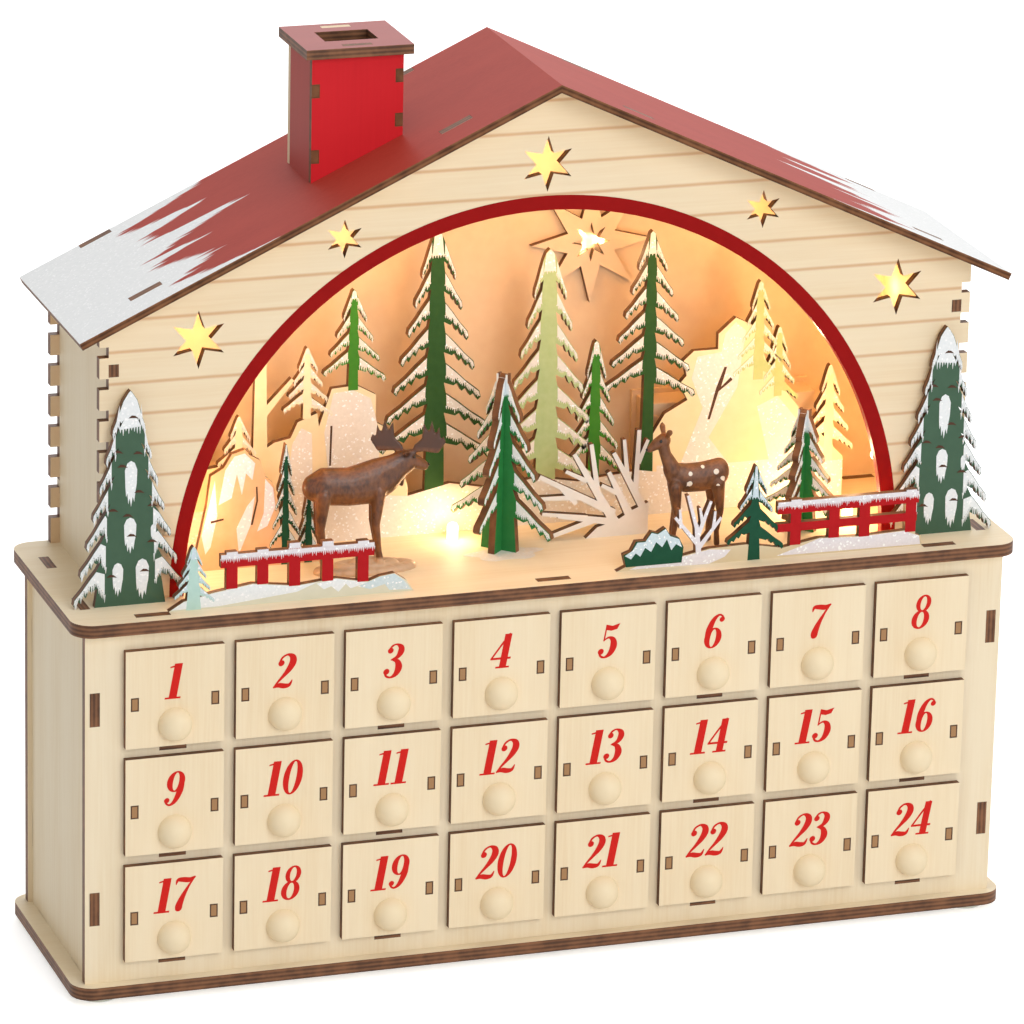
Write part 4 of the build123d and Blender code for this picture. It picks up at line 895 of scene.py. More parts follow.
# %% Firs and their snow
bough_tooth_shares = (
    (0.26, -0.12), (0.36, -0.04), (0.48, -0.32), (0.58, -0.22), (0.71, -0.50), (0.80, -0.42), (0.92, -0.66),
)
bough_back_shares = ((1.00, -0.56), (0.96, -0.36), (0.64, -0.04), (0.34, 0.32), (0.04, 0.64))
snow_back_shares = ((0.985, -0.55), (0.945, -0.38), (0.63, -0.06), (0.335, 0.29), (0.05, 0.60))
snow_hem_shares = (
    (0.06, 0.22), (0.25, 0.08), (0.36, 0.13), (0.47, -0.08), (0.58, -0.05), (0.70, -0.28), (0.80, -0.26),
    (0.92, -0.50),
)
bough_fall_share = 0.80
stem_tip_share = 0.7
left_lag_share = 0.42


def boughs(high, reach, tiers, stem, crown_share, fall_share, lag):
    """Root, length and step of every bough on one side of a fir, from the lowest up."""
    crown = high * crown_share
    step = (high - crown) / (tiers + lag)
    for tier in range(tiers):
        level = crown + step * (tier + lag)
        here = stem * (1 - fall_share * level / high)
        yield here, level, reach * (1 - bough_fall_share * (tier + lag) / tiers) - here, step


def along_bough(bough, shares, side):
    """Points of one bough from shares of its length and of the step between tiers."""
    here, level, length, step = bough
    return [(side * (here + length * out), level + step * up) for out, up in shares]


def fir_top(high, stem, fall_share):
    """The blunt top of a fir, from right to left."""
    tip = stem * (1 - fall_share) * stem_tip_share
    return [(tip, high - tip), (0, high), (-tip, high - tip)]


def fir_outline(high, reach, tiers, stem, crown_share, fall_share):
    """Closed outline of a fir that stands at the origin."""
    sides = []
    for side, lag in ((1, 0), (-1, left_lag_share)):
        points = [(side * stem, 0)]
        for bough in boughs(high, reach, tiers, stem, crown_share, fall_share, lag):
            points.append((side * bough[0], bough[1]))
            points += along_bough(bough, bough_tooth_shares + bough_back_shares, side)
        sides.append(points)
    return [*sides[0], *fir_top(high, stem, fall_share), *reversed(sides[1])]


def fir_snow(high, reach, tiers, stem, crown_share, fall_share, cap_share=0.10):
    """Snow on a fir: a patch for each bough and a cap, and the hems from which the fringe hangs."""
    patches, hems = [], []
    for side, lag in ((1, 0), (-1, left_lag_share)):
        for bough in boughs(high, reach, tiers, stem, crown_share, fall_share, lag):
            hem = along_bough(bough, snow_hem_shares, side)
            patches.append(hem + along_bough(bough, snow_back_shares, side))
            hems.append(hem)
    foot = high * (1 - cap_share)
    half = stem * (1 - fall_share * (1 - cap_share))
    patches.append([(-half, foot), (half, foot), *fir_top(high - 0.2, stem, fall_share)])
    hems.append([(-half * 0.9, foot + 0.2), (half * 0.9, foot + 0.2)])
    return patches, hems


def shifted(outlines, x, z):
    """The outlines, moved across and up."""
    return [[(a + x, b + z) for a, b in outline] for outline in outlines]


sample = fir_outline(89.0, 23.2, 7, 14.5, 0.09, 0.93)
print(len(sample), "points in the outline of a corner fir")

# %% [markdown]
# ## Fringe of icicles
# Below each patch of snow the brush left thin white points. Their places follow the hem of the snow, so
# they are made with Geometry Nodes: the hem becomes a curve, the curve gives evenly spaced points, and
# each point takes a thin cone that hangs down, its length drawn from a fixed seed. The result is kept as
# a plain mesh.

# %% Fringe
icicle_tip, icicle_root = 0.06, 0.42


def fringe(name, hems, face, material, spacing, longest, lift, seed):
    """Thin white points along the hems of the snow on one face."""
    points, edges = [], []
    for hem in hems:
        start = len(points)
        points += [face.point(x, z, lift) for x, z in hem]
        edges += [(i, i + 1) for i in range(start, start + len(hem) - 1)]
    mesh = bpy.data.meshes.new(name)
    mesh.from_pydata(points, edges, [])
    piece = bpy.data.objects.new(name, mesh)
    bpy.context.scene.collection.objects.link(piece)

    tree = bpy.data.node_groups.new(name, "GeometryNodeTree")
    tree.interface.new_socket("Geometry", in_out="INPUT", socket_type="NodeSocketGeometry")
    sockets = {
        title: tree.interface.new_socket(title, in_out="INPUT", socket_type=kind).identifier
        for title, kind in (
            ("Spacing", "NodeSocketFloat"), ("Longest", "NodeSocketFloat"), ("Seed", "NodeSocketInt"),
            ("Material", "NodeSocketMaterial"),
        )
    }
    tree.interface.new_socket("Geometry", in_out="OUTPUT", socket_type="NodeSocketGeometry")
    given = put(tree, "NodeGroupInput")
    curve = put(tree, "GeometryNodeMeshToCurve", None, {"Mesh": given.outputs["Geometry"]})
    spots = put(
        tree, "GeometryNodeCurveToPoints", {"mode": "LENGTH"},
        {"Curve": curve.outputs[0], "Length": given.outputs["Spacing"]},
    )
    cone = put(
        tree, "GeometryNodeMeshCone", None,
        {"Vertices": 5, "Radius Top": icicle_tip * mm, "Radius Bottom": icicle_root * mm, "Depth": 1 * mm},
    )
    long = put(
        tree, "FunctionNodeRandomValue", {"data_type": "FLOAT"},
        {2: 0.35, 3: 1.0, "Seed": given.outputs["Seed"]},
    )
    length = put(
        tree, "ShaderNodeMath", {"operation": "MULTIPLY"}, {0: long.outputs[1], 1: given.outputs["Longest"]},
    )
    scale = put(tree, "ShaderNodeCombineXYZ", None, {0: 1, 1: 1, 2: length.outputs[0]})
    down = put(tree, "FunctionNodeAxisAngleToRotation", None, {"Axis": (1, 0, 0), "Angle": math.pi})
    hung = put(
        tree, "GeometryNodeInstanceOnPoints", None,
        {
            "Points": spots.outputs[0], "Instance": cone.outputs[0], "Rotation": down.outputs[0],
            "Scale": scale.outputs[0],
        },
    )
    real = put(tree, "GeometryNodeRealizeInstances", None, {"Geometry": hung.outputs[0]})
    coat = put(
        tree, "GeometryNodeSetMaterial", None,
        {"Geometry": real.outputs[0], "Material": given.outputs["Material"]},
    )
    put(tree, "NodeGroupOutput", None, {0: coat.outputs[0]})

    modifier = piece.modifiers.new("fringe", "NODES")
    modifier.node_group = tree
    modifier[sockets["Spacing"]] = spacing * mm
    modifier[sockets["Longest"]] = longest
    modifier[sockets["Seed"]] = seed
    modifier[sockets["Material"]] = material
    depsgraph = bpy.context.evaluated_depsgraph_get()
    made = bpy.data.meshes.new_from_object(piece.evaluated_get(depsgraph))
    piece.modifiers.clear()
    piece.data = made
    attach(piece, "calendar")
    return piece


def snowy_fir(
    name, sizes, face, x, z, green, snow, layer, longest=1.6, cap_share=0.10, seed=1, bare_share=0,
):
    """One painted fir: its colour, its snow above the bare part, and the fringe below the snow."""
    patches, hems = fir_snow(*sizes, cap_share)
    bare = bare_share * sizes[0]
    patches = [patch for patch in patches if min(p[1] for p in patch) >= bare]
    hems = [hem for hem in hems if min(p[1] for p in hem) >= bare]
    if green:
        paint_sheet(f"{name}_green", shifted([fir_outline(*sizes)], x, z), face, layer, green)
    paint_sheet(f"{name}_snow", shifted(patches, x, z), face, layer + 1, snow)
    fringe(f"{name}_fringe", shifted(hems, x, z), face, snow, 1.0, longest, 0.05, seed)


# %% [markdown]
# ## Corner firs
# The two large firs before the cottage's corners are dark green. Their tops and boughs are white, and
# five white drips run down each trunk between short burnt marks.

# %% Corner firs
corner_fir_out = 172.5
corner_sizes = (89.0, 23.2, 7, 14.5, 0.09, 0.93)
drip_places = (
    (0.3, 60, 41, 5.0), (0.0, 36.5, 21.5, 5.0), (-5.0, 18, 4, 4.4), (5.0, 19, 2, 5.4), (9.5, 33, 26, 2.2),
)
mark_places = (
    (1.2, 78), (-5, 64), (3.2, 63), (-3.2, 58), (3.6, 47), (-1, 37.4), (0.6, 29), (9, 26), (6, 14),
    (-7.5, 12.6), (-7, 40), (9, 41),
)


def drip(x, top, low, wide):
    """A run of white paint: round above, with a ragged tail."""
    rise = top - low
    shares = (
        (0, 1), (-0.30, 0.95), (-0.5, 0.80), (-0.46, 0.42), (-0.40, 0.22), (-0.30, 0.30), (-0.22, 0.06),
        (-0.10, 0.20), (0, 0), (0.14, 0.22), (0.26, 0.10), (0.36, 0.34), (0.46, 0.50), (0.5, 0.80),
        (0.30, 0.95),
    )
    return [(x + wide * a, low + rise * b) for a, b in shares]


def mark(x, z):
    """A short arched cut with a thick middle."""
    shares = ((-1.6, 0.2), (-0.5, -0.45), (0.6, -0.30), (1.7, 0.45), (0.6, 0.25), (-0.5, 0.2))
    return [(x + 1.3 * a, z - 1.7 * b) for a, b in reversed(shares)]


def trunk_edge(level):
    """Half width, at a height, of the green that stays between the snow of a corner fir."""
    share = level / corner_sizes[0]
    return 10.7 - 3.4 * share if share < 0.5 else 9.0 - 12.3 * (share - 0.5)


def corner_snow():
    """Snow of a corner fir: a patch on each bough that starts at the trunk's edge, and a cap."""
    patches, hems = [], []
    for side, lag in ((1, 0), (-1, left_lag_share)):
        for bough in boughs(*corner_sizes, lag):
            level, step = bough[1], bough[3]
            edge = trunk_edge(level)
            hem = [p for p in along_bough(bough, snow_hem_shares, side) if side * p[0] > edge + 0.4]
            back = [p for p in along_bough(bough, snow_back_shares, side) if side * p[0] > edge + 0.4]
            inner = [(side * edge, level + 0.5 * step), (side * edge, level - 0.25 * step)]
            patches.append([*hem, *back, *inner])
            hems.append([inner[1], *hem])
    foot = 0.8 * corner_sizes[0]
    cap = [(x * 0.96, z - 0.15) for x, z in fir_outline(*corner_sizes) if z > foot]
    patches.append(cap)
    hems.append([(x * 0.9, z + 0.3) for x, z in (cap[-1], cap[0])])
    return patches, hems


for side, node in ((-1, "corner_fir_left"), (1, "corner_fir_right")):
    dress(node, birch_plywood(f"painted_{node}", facing_y, 2, front=("#33513C", "#405F48")))
    face = front_face(side * corner_fir_out, span(node)[0].y)
    patches, hems = corner_snow()
    mirrored = [[(side * x, z) for x, z in patch] for patch in patches]
    paint_sheet(f"{node}_snow", mirrored + [drip(*place) for place in drip_places], face, 1, white_snow)
    fringe(
        f"{node}_fringe", [[(side * x, z) for x, z in hem] for hem in hems], face, white_snow, 1.1, 3.4,
        0.05, 3,
    )
    paint_sheet(f"{node}_marks", [mark(*place) for place in mark_places], face, 2, burnt_mark)
print("two corner firs")

# %% [markdown]
# ## Crossed firs
# Two plates stand across each other, so a cut edge of one looks the same way as a face of the other. The
# finish tells them apart by distance: a face lies half a sheet away from the middle plane of its own
# plate.

# %% Crossed firs
cross_tiers = 5
cross_crown_share = 0.2


def crossed_finish(name, x, y, top):
    """Green faces, brown edges and a white top on two plates that cross at 45 degrees to the front."""
    made, tree, shader = new_material(name)
    place = put(tree, "ShaderNodeTexCoord")
    half = math.sqrt(0.5)
    on_face = []
    for out in ((half, -half, 0), (half, half, 0)):
        depth = put(
            tree, "ShaderNodeVectorMath", {"operation": "DOT_PRODUCT"}, {0: place.outputs["Object"], 1: out},
        )
        middle = (x * out[0] + y * out[1]) * mm
        apart = put(
            tree, "ShaderNodeMath", {"operation": "SUBTRACT"}, {0: depth.outputs["Value"], 1: middle},
        )
        apart = put(tree, "ShaderNodeMath", {"operation": "ABSOLUTE"}, {0: apart.outputs[0]})
        near = put(
            tree, "ShaderNodeMath", {"operation": "COMPARE"},
            {0: apart.outputs[0], 1: ply_thick / 2 * mm, 2: 0.03 * mm},
        )
        on_face.append(near.outputs[0])
    face = put(tree, "ShaderNodeMath", {"operation": "MAXIMUM"}, {0: on_face[0], 1: on_face[1]})
    brush = put(
        tree, "ShaderNodeTexNoise", None,
        {"Vector": place.outputs["Object"], "Scale": 1 / (4 * mm), "Detail": 3},
    )
    green = put(
        tree, "ShaderNodeMix", {"data_type": "RGBA"},
        {0: brush.outputs[0], 6: linear("#1C6B32"), 7: linear("#2C8542")},
    )
    spot = put(tree, "ShaderNodeSeparateXYZ", None, {0: place.outputs["Object"]})
    ragged = put(
        tree, "ShaderNodeMath", {"operation": "MULTIPLY_ADD"},
        {0: brush.outputs[0], 1: 9 * mm, 2: spot.outputs[2]},
    )
    snowed = put(
        tree, "ShaderNodeMapRange", None,
        {"Value": ragged.outputs[0], "From Min": (top - 4.5) * mm, "From Max": (top - 2.5) * mm},
    )
    coat = put(
        tree, "ShaderNodeMix", {"data_type": "RGBA"},
        {0: snowed.outputs[0], 6: green.outputs[2], 7: linear("#DDE6EA")},
    )
    colour = put(
        tree, "ShaderNodeMix", {"data_type": "RGBA"},
        {0: face.outputs[0], 6: scorched_colour(tree, place, (0, 0, 0)), 7: coat.outputs[2]},
    )
    finish_wood(tree, shader, colour.outputs[2], brush.outputs[0])
    return made


for node, x, y, sizes in (
    ("middle_fir", -9.0, -2.3, (75.0, 23.7, cross_tiers, 8.0, cross_crown_share, 0.75)),
    ("right_fir", 119.0, -10.3, (52.0, 18.0, cross_tiers, 6.5, cross_crown_share, 0.75)),
):
    dress(node, crossed_finish(f"painted_{node}", x, y, span(node)[1].z))
    patches, hems = fir_snow(*sizes)
    for turn in (45, -45):
        angle = math.radians(turn)
        for way in (1, -1):
            across = Vector((math.cos(angle), math.sin(angle), 0)) * way
            face = Face((x, y, scene_z), across, (0, 0, 1))
            face.at = face.at + face.out * ply_thick / 2
            near = [[(way * u, v) for u, v in patch] for patch in patches[:-1]]
            hang = [[(way * u, v) for u, v in hem] for hem in hems[:-1]]
            title = f"{node}_{turn + 45}_{way + 1}"
            paint_sheet(f"{title}_snow", near, face, 0, white_snow)
            fringe(f"{title}_fringe", hang, face, white_snow, 0.9, 1.9, 0.05, 5)
print("two crossed firs with snow on every face")

# %% [markdown]
# ## Rear forest
# One sheet carries the snowy ground, two crags and ten firs. The land is cream, the firs run from dark to
# pale green, and the farthest are hardly more than a tint.

# %% Rear forest
forest_half, forest_high, forest_stem = 150.0, 131.0, 4.2
forest_firs = (
    ("forest_fir_1", -0.43, 0.49, 0.815, 0.093, 4, 0.5, 0.20, mid_green, glow_tinted_snow),
    ("forest_fir_2", -0.195, 0.10, 0.985, 0.167, 7, 1.0, 0.22, dark_green, glow_tinted_snow),
    ("forest_fir_3", 0.125, 0.10, 0.90, 0.160, 7, 1.05, 0.10, pale_green, glow_tinted_snow),
    ("forest_fir_4", 0.42, 0.10, 0.935, 0.137, 6, 0.65, 0.40, dark_green, glow_tinted_snow),
    ("forest_fir_5", 0.265, 0.10, 0.59, 0.083, 5, 0.6, 0.20, mid_green, glow_tinted_snow),
    ("forest_fir_6", -0.56, 0.41, 0.64, 0.073, 4, 0.4, 0.15, cream_wash, glow_tinted_snow),
    ("forest_fir_7", -0.75, 0.26, 0.435, 0.067, 3, 0.4, 0.15, cream_wash, glow_tinted_snow),
    ("forest_fir_8", 0.74, 0.42, 0.745, 0.080, 5, 0.5, 0.08, pale_green, glow_tinted_snow),
    ("forest_fir_9", 0.80, 0.36, 0.59, 0.060, 4, 0.4, 0.08, pale_green, glow_tinted_snow),
    ("forest_fir_10", 0.955, 0.12, 0.45, 0.075, 4, 0.5, 0.25, cream_wash, glow_tinted_snow),
)
ground_shares = (
    (-1.0, 0), (1.0, 0), (1.0, 0.13), (0.55, 0.12), (0.40, 0.15), (0.22, 0.13), (0.10, 0.155), (-0.02, 0.13),
    (-0.15, 0.16), (-0.27, 0.13), (-0.45, 0.15), (-1.0, 0.13),
)
crag_light_shares = (
    (
        (-0.49, 0.16), (-0.36, 0.16), (-0.35, 0.33), (-0.38, 0.46), (-0.43, 0.49), (-0.485, 0.485),
        (-0.51, 0.36),
    ),
    ((-0.62, 0.14), (-0.54, 0.14), (-0.545, 0.36), (-0.575, 0.38), (-0.60, 0.33)),
    (
        (0.45, 0.16), (0.52, 0.16), (0.58, 0.34), (0.545, 0.44), (0.56, 0.51), (0.63, 0.52), (0.64, 0.58),
        (0.67, 0.615), (0.70, 0.585), (0.68, 0.40), (0.60, 0.24), (0.66, 0.15), (0.78, 0.15), (0.74, 0.33),
        (0.80, 0.36), (0.90, 0.22), (0.96, 0.15), (0.96, 0.10), (0.45, 0.10),
    ),
)
crag_crack_shares = (
    (
        (0.595, 0.30), (0.602, 0.30), (0.625, 0.39), (0.665, 0.425), (0.66, 0.435), (0.632, 0.405),
        (0.648, 0.47), (0.640, 0.47), (0.617, 0.40),
    ),
    ((-0.495, 0.25), (-0.49, 0.25), (-0.487, 0.38), (-0.493, 0.38)),
)
forest_front = front_face(0, span("rear_forest")[0].y)
dress("rear_forest", birch_plywood("painted_rear_forest", facing_y, 2, front=("#EBD3A4", "#F4E2BC")))


def forest_shares(outlines):
    """Outlines of the rear sheet from shares of its half width and of its height."""
    return [[(x * forest_half, z * forest_high) for x, z in outline] for outline in outlines]


paint_sheet("forest_crag_light", forest_shares(crag_light_shares), forest_front, 0, glow_tinted_snow)
paint_sheet("forest_crag_cracks", forest_shares(crag_crack_shares), forest_front, 1, burnt_mark)
for order, (name, x, foot, top, reach, tiers, stem, crown, green, snow) in enumerate(forest_firs):
    sizes = ((top - foot) * forest_high, reach * forest_half, tiers, stem * forest_stem, crown, 0.45)
    snowy_fir(
        name, sizes, forest_front, x * forest_half, foot * forest_high, green, snow, 1 + order % 3, 2.4,
        0.09, order,
    )
paint_sheet("forest_ground", forest_shares([ground_shares]), forest_front, 5, glow_tinted_snow)
print(len(forest_firs), "firs on the rear sheet")

# %% [markdown]
# ## Rock, thicket and star
# The rock behind the moose has pale faces and two small firs beside it. The thicket is white all over,
# and the great star is bare wood with a painted peach glow on its front.

# %% Rock, thicket and star
rock_wide, rock_high, rock_x = 54.0, 50.0, -111.0
rock_light_shares = (
    (
        (-0.30, 0.55), (-0.25, 0.84), (-0.18, 0.95), (-0.10, 0.97), (-0.02, 0.88), (-0.04, 0.74),
        (-0.09, 0.80), (-0.12, 0.62), (-0.16, 0.80), (-0.2, 0.60),
    ),
    ((0.0, 0.30), (0.05, 0.45), (0.06, 0.74), (0.12, 0.66), (0.14, 0.50), (0.08, 0.34)),
    ((-0.40, 0.14), (-0.43, 0.30), (-0.38, 0.52), (-0.33, 0.76), (-0.31, 0.46), (-0.36, 0.20)),
    ((-0.14, 0.12), (-0.16, 0.34), (-0.08, 0.52), (-0.02, 0.60), (-0.05, 0.36)),
)
rock_crack_shares = (
    ((-0.05, 0.36), (-0.035, 0.36), (0.005, 0.56), (0.0, 0.68), (-0.012, 0.68), (-0.008, 0.56)),
    ((-0.36, 0.40), (-0.26, 0.42), (-0.26, 0.435), (-0.36, 0.42)),
)
rock_front = front_face(rock_x, span("rock_and_small_firs")[0].y)
dress("rock_and_small_firs", birch_plywood("painted_rock", facing_y, 2, front=("#D9A678", "#E8BF95")))
paint_sheet(
    "rock_light", [[(x * rock_wide, z * rock_high) for x, z in patch] for patch in rock_light_shares],
    rock_front, 0, lilac_snow,
)
paint_sheet(
    "rock_cracks", [[(x * rock_wide, z * rock_high) for x, z in crack] for crack in rock_crack_shares],
    rock_front, 1, burnt_mark,
)
for number, (x, top, reach, tiers) in enumerate(((0.22, 1.02, 0.13, 5), (0.40, 0.62, 0.11, 3)), 1):
    sizes = (top * rock_high, reach * rock_wide, tiers, 0.03 * rock_wide, 0.18, 0.75)
    snowy_fir(
        f"rock_fir_{number}", sizes, rock_front, x * rock_wide, 0, deep_green, blue_snow, 1 + number, 1.2,
        0.10, number,
    )
dress("white_thicket", birch_plywood("painted_white_thicket", facing_y, 0, front=("#EBE0D4", "#F8F1E8")))
# The great star's front is painted peach: a painted warm glow of the lights behind the arch.
dress("great_star", birch_plywood("birch_great_star_painted_glow", facing_y, 2, front=("#E7C8A4", "#EFD4B2")))
print("rock, thicket and great star")

# %% [markdown]
# ## Front plates
# Two low plates at the very front carry snow banks, red fences, bushes and small firs. Snow lies on the
# upper rail and on every post, with a fringe below it.

# %% Front plates
rail_high, post_wide = 3.2, 4.6


def box_outline(x, z, wide, high):
    """A rectangle from its middle."""
    return [
        (x - wide / 2, z - high / 2), (x + wide / 2, z - high / 2), (x + wide / 2, z + high / 2),
        (x - wide / 2, z + high / 2),
    ]


def fence(name, face, wide, high, posts, rails, snow, layer):
    """Red posts and rails, with snow on the posts and on the upper rail."""
    red, white, hems = [], [], []
    for x, foot, top in posts:
        red.append(box_outline(x * wide, (foot + top) / 2 * high, post_wide, (top - foot) * high))
        white.append(box_outline(x * wide, top * high - 1.1, post_wide, 2.2))
        hems.append(
            [(x * wide - post_wide / 2, top * high - 2.0), (x * wide + post_wide / 2, top * high - 2.0)]
        )
    for start, end, level, thick in rails:
        red.append(
            box_outline((start + end) / 2 * wide, level * high, (end - start) * wide, thick * rail_high)
        )
    start, end, level, thick = rails[0]
    rail_top = level * high + thick * rail_high / 2
    white.append(box_outline((start + end) / 2 * wide, rail_top - 0.9, (end - start) * wide, 1.8))
    hems.append([(start * wide, rail_top - 1.6), (end * wide, rail_top - 1.6)])
    paint_sheet(f"{name}_red", red, face, layer, fence_red)
    paint_sheet(f"{name}_snow", white, face, layer + 1, snow)
    fringe(f"{name}_fringe", hems, face, snow, 0.75, 2.3, 0.08, 8)


def plate_shares(outlines, wide, high):
    """Outlines of a front plate from shares of its width and height."""
    return [[(x * wide, z * high) for x, z in outline] for outline in outlines]


left_wide, left_high, left_x = 101.5, 26.5, -109.2
left_front = front_face(left_x, span("front_left_scenery")[0].y)
dress("front_left_scenery", birch_plywood("painted_front_left", facing_y, 0, front=("#D5D2BC", "#E2DEC8")))
left_snow_shares = (
    (
        (-0.49, 0.02), (-0.44, 0.13), (-0.32, 0.23), (-0.16, 0.32), (0.02, 0.23), (0.10, 0.26), (0.02, 0.14),
        (-0.14, 0.08), (-0.30, 0.02),
    ),
    (
        (0.10, 0.24), (0.18, 0.29), (0.31, 0.19), (0.24, 0.12), (0.22, 0.20), (0.19, 0.08), (0.16, 0.18),
        (0.13, 0.14),
    ),
)
left_rock_shares = (
    (
        (0.27, 0.14), (0.31, 0.19), (0.36, 0.26), (0.42, 0.29), (0.46, 0.17), (0.49, 0.02), (0.40, 0.04),
        (0.38, 0.14), (0.32, 0.08),
    ),
)
paint_sheet(
    "left_bank_snow", plate_shares(left_snow_shares, left_wide, left_high), left_front, 0, white_snow,
)
paint_sheet("left_blue_rock", plate_shares(left_rock_shares, left_wide, left_high), left_front, 0, blue_snow)
fence(
    "left_fence", left_front, left_wide, left_high,
    ((-0.245, 0.28, 0.86), (-0.12, 0.31, 0.86), (0.01, 0.24, 0.92), (0.145, 0.27, 0.90), (0.29, 0.21, 0.86)),
    ((-0.29, 0.335, 0.72, 1.7),), lilac_snow, 1,
)
left_fir = (left_high, 0.085 * left_wide, 4, 0.03 * left_wide, 0.22, 0.75)
snowy_fir("left_small_fir", left_fir, left_front, -0.40 * left_wide, 0, aqua_wash, blue_snow, 1, 1.2, 0.2, 2)

right_wide, right_high, right_x = 132.5, 40.5, 93.8
right_front = front_face(right_x, span("front_right_scenery")[0].y)
dress("front_right_scenery", birch_plywood("painted_front_right", facing_y, 0, front=("#D3BE98", "#DFCCA9")))
right_snow_shares = (
    ((-0.46, 0.01), (-0.40, 0.08), (-0.30, 0.09), (-0.20, 0.15), (-0.13, 0.13), (-0.15, 0.06), (-0.20, 0.0)),
    ((0.02, 0.02), (0.10, 0.10), (0.16, 0.165), (0.30, 0.145), (0.44, 0.165), (0.49, 0.10), (0.495, 0.01)),
)
bush_shares = (
    (-0.47, 0.04), (-0.29, 0.04), (-0.285, 0.20), (-0.30, 0.30), (-0.33, 0.34), (-0.345, 0.42),
    (-0.37, 0.37), (-0.39, 0.39), (-0.41, 0.30), (-0.44, 0.30), (-0.455, 0.20), (-0.48, 0.17),
)
bush_snow_shares = (
    (
        (-0.475, 0.16), (-0.45, 0.21), (-0.435, 0.29), (-0.41, 0.29), (-0.39, 0.38), (-0.37, 0.36),
        (-0.345, 0.41), (-0.33, 0.33), (-0.30, 0.29), (-0.29, 0.20), (-0.31, 0.24), (-0.325, 0.18),
        (-0.34, 0.30), (-0.355, 0.22), (-0.375, 0.28), (-0.39, 0.18), (-0.41, 0.23), (-0.425, 0.14),
        (-0.44, 0.18), (-0.455, 0.12),
    ),
)
shrub_twig_shares = (
    (-0.235, 0.10, -0.245, 0.42, 1.0, 0.7), (-0.245, 0.40, -0.275, 0.74, 0.7, 0.5),
    (-0.24, 0.30, -0.20, 0.66, 0.8, 0.5), (-0.24, 0.22, -0.315, 0.52, 0.8, 0.5),
    (-0.295, 0.40, -0.30, 0.60, 0.6, 0.4), (-0.235, 0.18, -0.165, 0.48, 0.8, 0.5),
    (-0.19, 0.37, -0.185, 0.55, 0.6, 0.4), (-0.225, 0.42, -0.235, 0.60, 0.6, 0.4),
)


def twig(start, end, wide_start, wide_end):
    """A tapering stick between two points."""
    run = Vector(end) - Vector(start)
    side = Vector((-run.y, run.x)).normalized() / 2
    ends = ((start, wide_start), (end, -wide_end))
    return [tuple(Vector(p) + side * s * w) for p, w in ends for s in (1, -1)]


twigs = [
    twig((x0 * right_wide, z0 * right_high), (x1 * right_wide, z1 * right_high), w0 * 2.4, w1 * 2.4)
    for x0, z0, x1, z1, w0, w1 in shrub_twig_shares
]
paint_sheet(
    "right_bank_snow", plate_shares(right_snow_shares, right_wide, right_high), right_front, 0, lilac_snow,
)
paint_sheet("bush_green", plate_shares([bush_shares], right_wide, right_high), right_front, 1, deep_green)
paint_sheet("bush_snow", plate_shares(bush_snow_shares, right_wide, right_high), right_front, 2, blue_snow)
paint_sheet("shrub_white", twigs, right_front, 3, lilac_snow)
fence(
    "right_fence", right_front, right_wide, right_high,
    ((0.08, 0.12, 0.60), (0.207, 0.16, 0.58), (0.307, 0.145, 0.58), (0.46, 0.15, 0.60)),
    ((0.02, 0.485, 0.52, 1.6), (0.02, 0.48, 0.31, 1.1)), lilac_snow, 1,
)
right_small = (right_high, 0.097 * right_wide, 4, 0.02 * right_wide, 0.22, 0.75)
snowy_fir(
    "right_small_fir", right_small, right_front, -0.055 * right_wide, 0, deep_green, blue_snow, 1, 1.8, 0.34,
    4, 0.42,
)
print("front plates with two fences")

# %% [markdown]
# ## Arch band and floor snow
# A red band is printed round the arch. On the floor a thin patch of white lies under the middle fir.

# %% Band and floor
band_wide, steps = 6.0, 96
turns = [math.pi * step / steps for step in range(steps + 1)]
band = [((arch_round + band_wide) * math.cos(t), (arch_round + band_wide) * math.sin(t)) for t in turns]
band += [((arch_round + 0.1) * math.cos(t), (arch_round + 0.1) * math.sin(t)) for t in reversed(turns)]
paint_sheet("arch_band", [band], front_face(0, house_front_y), 0, arch_red)
floor_top = Face((-9, -9, scene_z), (1, 0, 0), (0, 1, 0))
waves = [math.tau * step / 40 for step in range(40)]
blob = [
    (
        (15 + 2.2 * math.sin(3 * t) + 1.4 * math.sin(7 * t)) * math.cos(t),
        (8 + 1.2 * math.sin(5 * t)) * math.sin(t),
    )
    for t in waves
]
paint_sheet("floor_snow", [blob], floor_top, 0, glow_tinted_snow)
print("band", band_wide, "mm wide")

# %% [markdown]
# ## Numbers
# The red numbers are set in a bold slanted face with thick stems and hairlines. Each digit is drawn as a
# sign writer would: pen strokes that swell and thin out, rings, and round ends. A stroke is a smooth
# curve through a few points, each with the width of the pen there.

# %% Digit outlines
digit_high = 14.7
digit_gap = 0.03
slant = 0.18
number_rise = 6.6


def smooth(points, steps=6):
    """Points along a smooth curve through all the given ones."""
    ends = [points[0], *points, points[-1]]
    run = []
    for a, b, c, d in zip(ends, ends[1:], ends[2:], ends[3:]):
        for step in range(steps):
            t = step / steps
            run.append(tuple(
                0.5 * (
                    2 * q + (r - p) * t + (2 * p - 5 * q + 4 * r - s) * t * t
                    + (3 * q - p - 3 * r + s) * t ** 3
                )
                for p, q, r, s in zip(a, b, c, d)
            ))
    return [*run, points[-1]]


def stroke(*points):
    """A pen stroke from places and widths: a quad for each short stretch, and round ends."""
    run = smooth(points)
    left, right = [], []
    for before, (x, z, wide), after in zip([run[0], *run], run, [*run[1:], run[-1]]):
        along = Vector(after[:2]) - Vector(before[:2])
        side = Vector((-along.y, along.x)).normalized() * max(wide, 0.02) / 2
        left.append((x + side.x, z + side.y))
        right.append((x - side.x, z - side.y))
    quads = [list(corners) for corners in zip(left, right, right[1:], left[1:])]
    return quads + [ring(x, z, wide / 2, wide / 2, 10) for x, z, wide in (run[0], run[-1])]


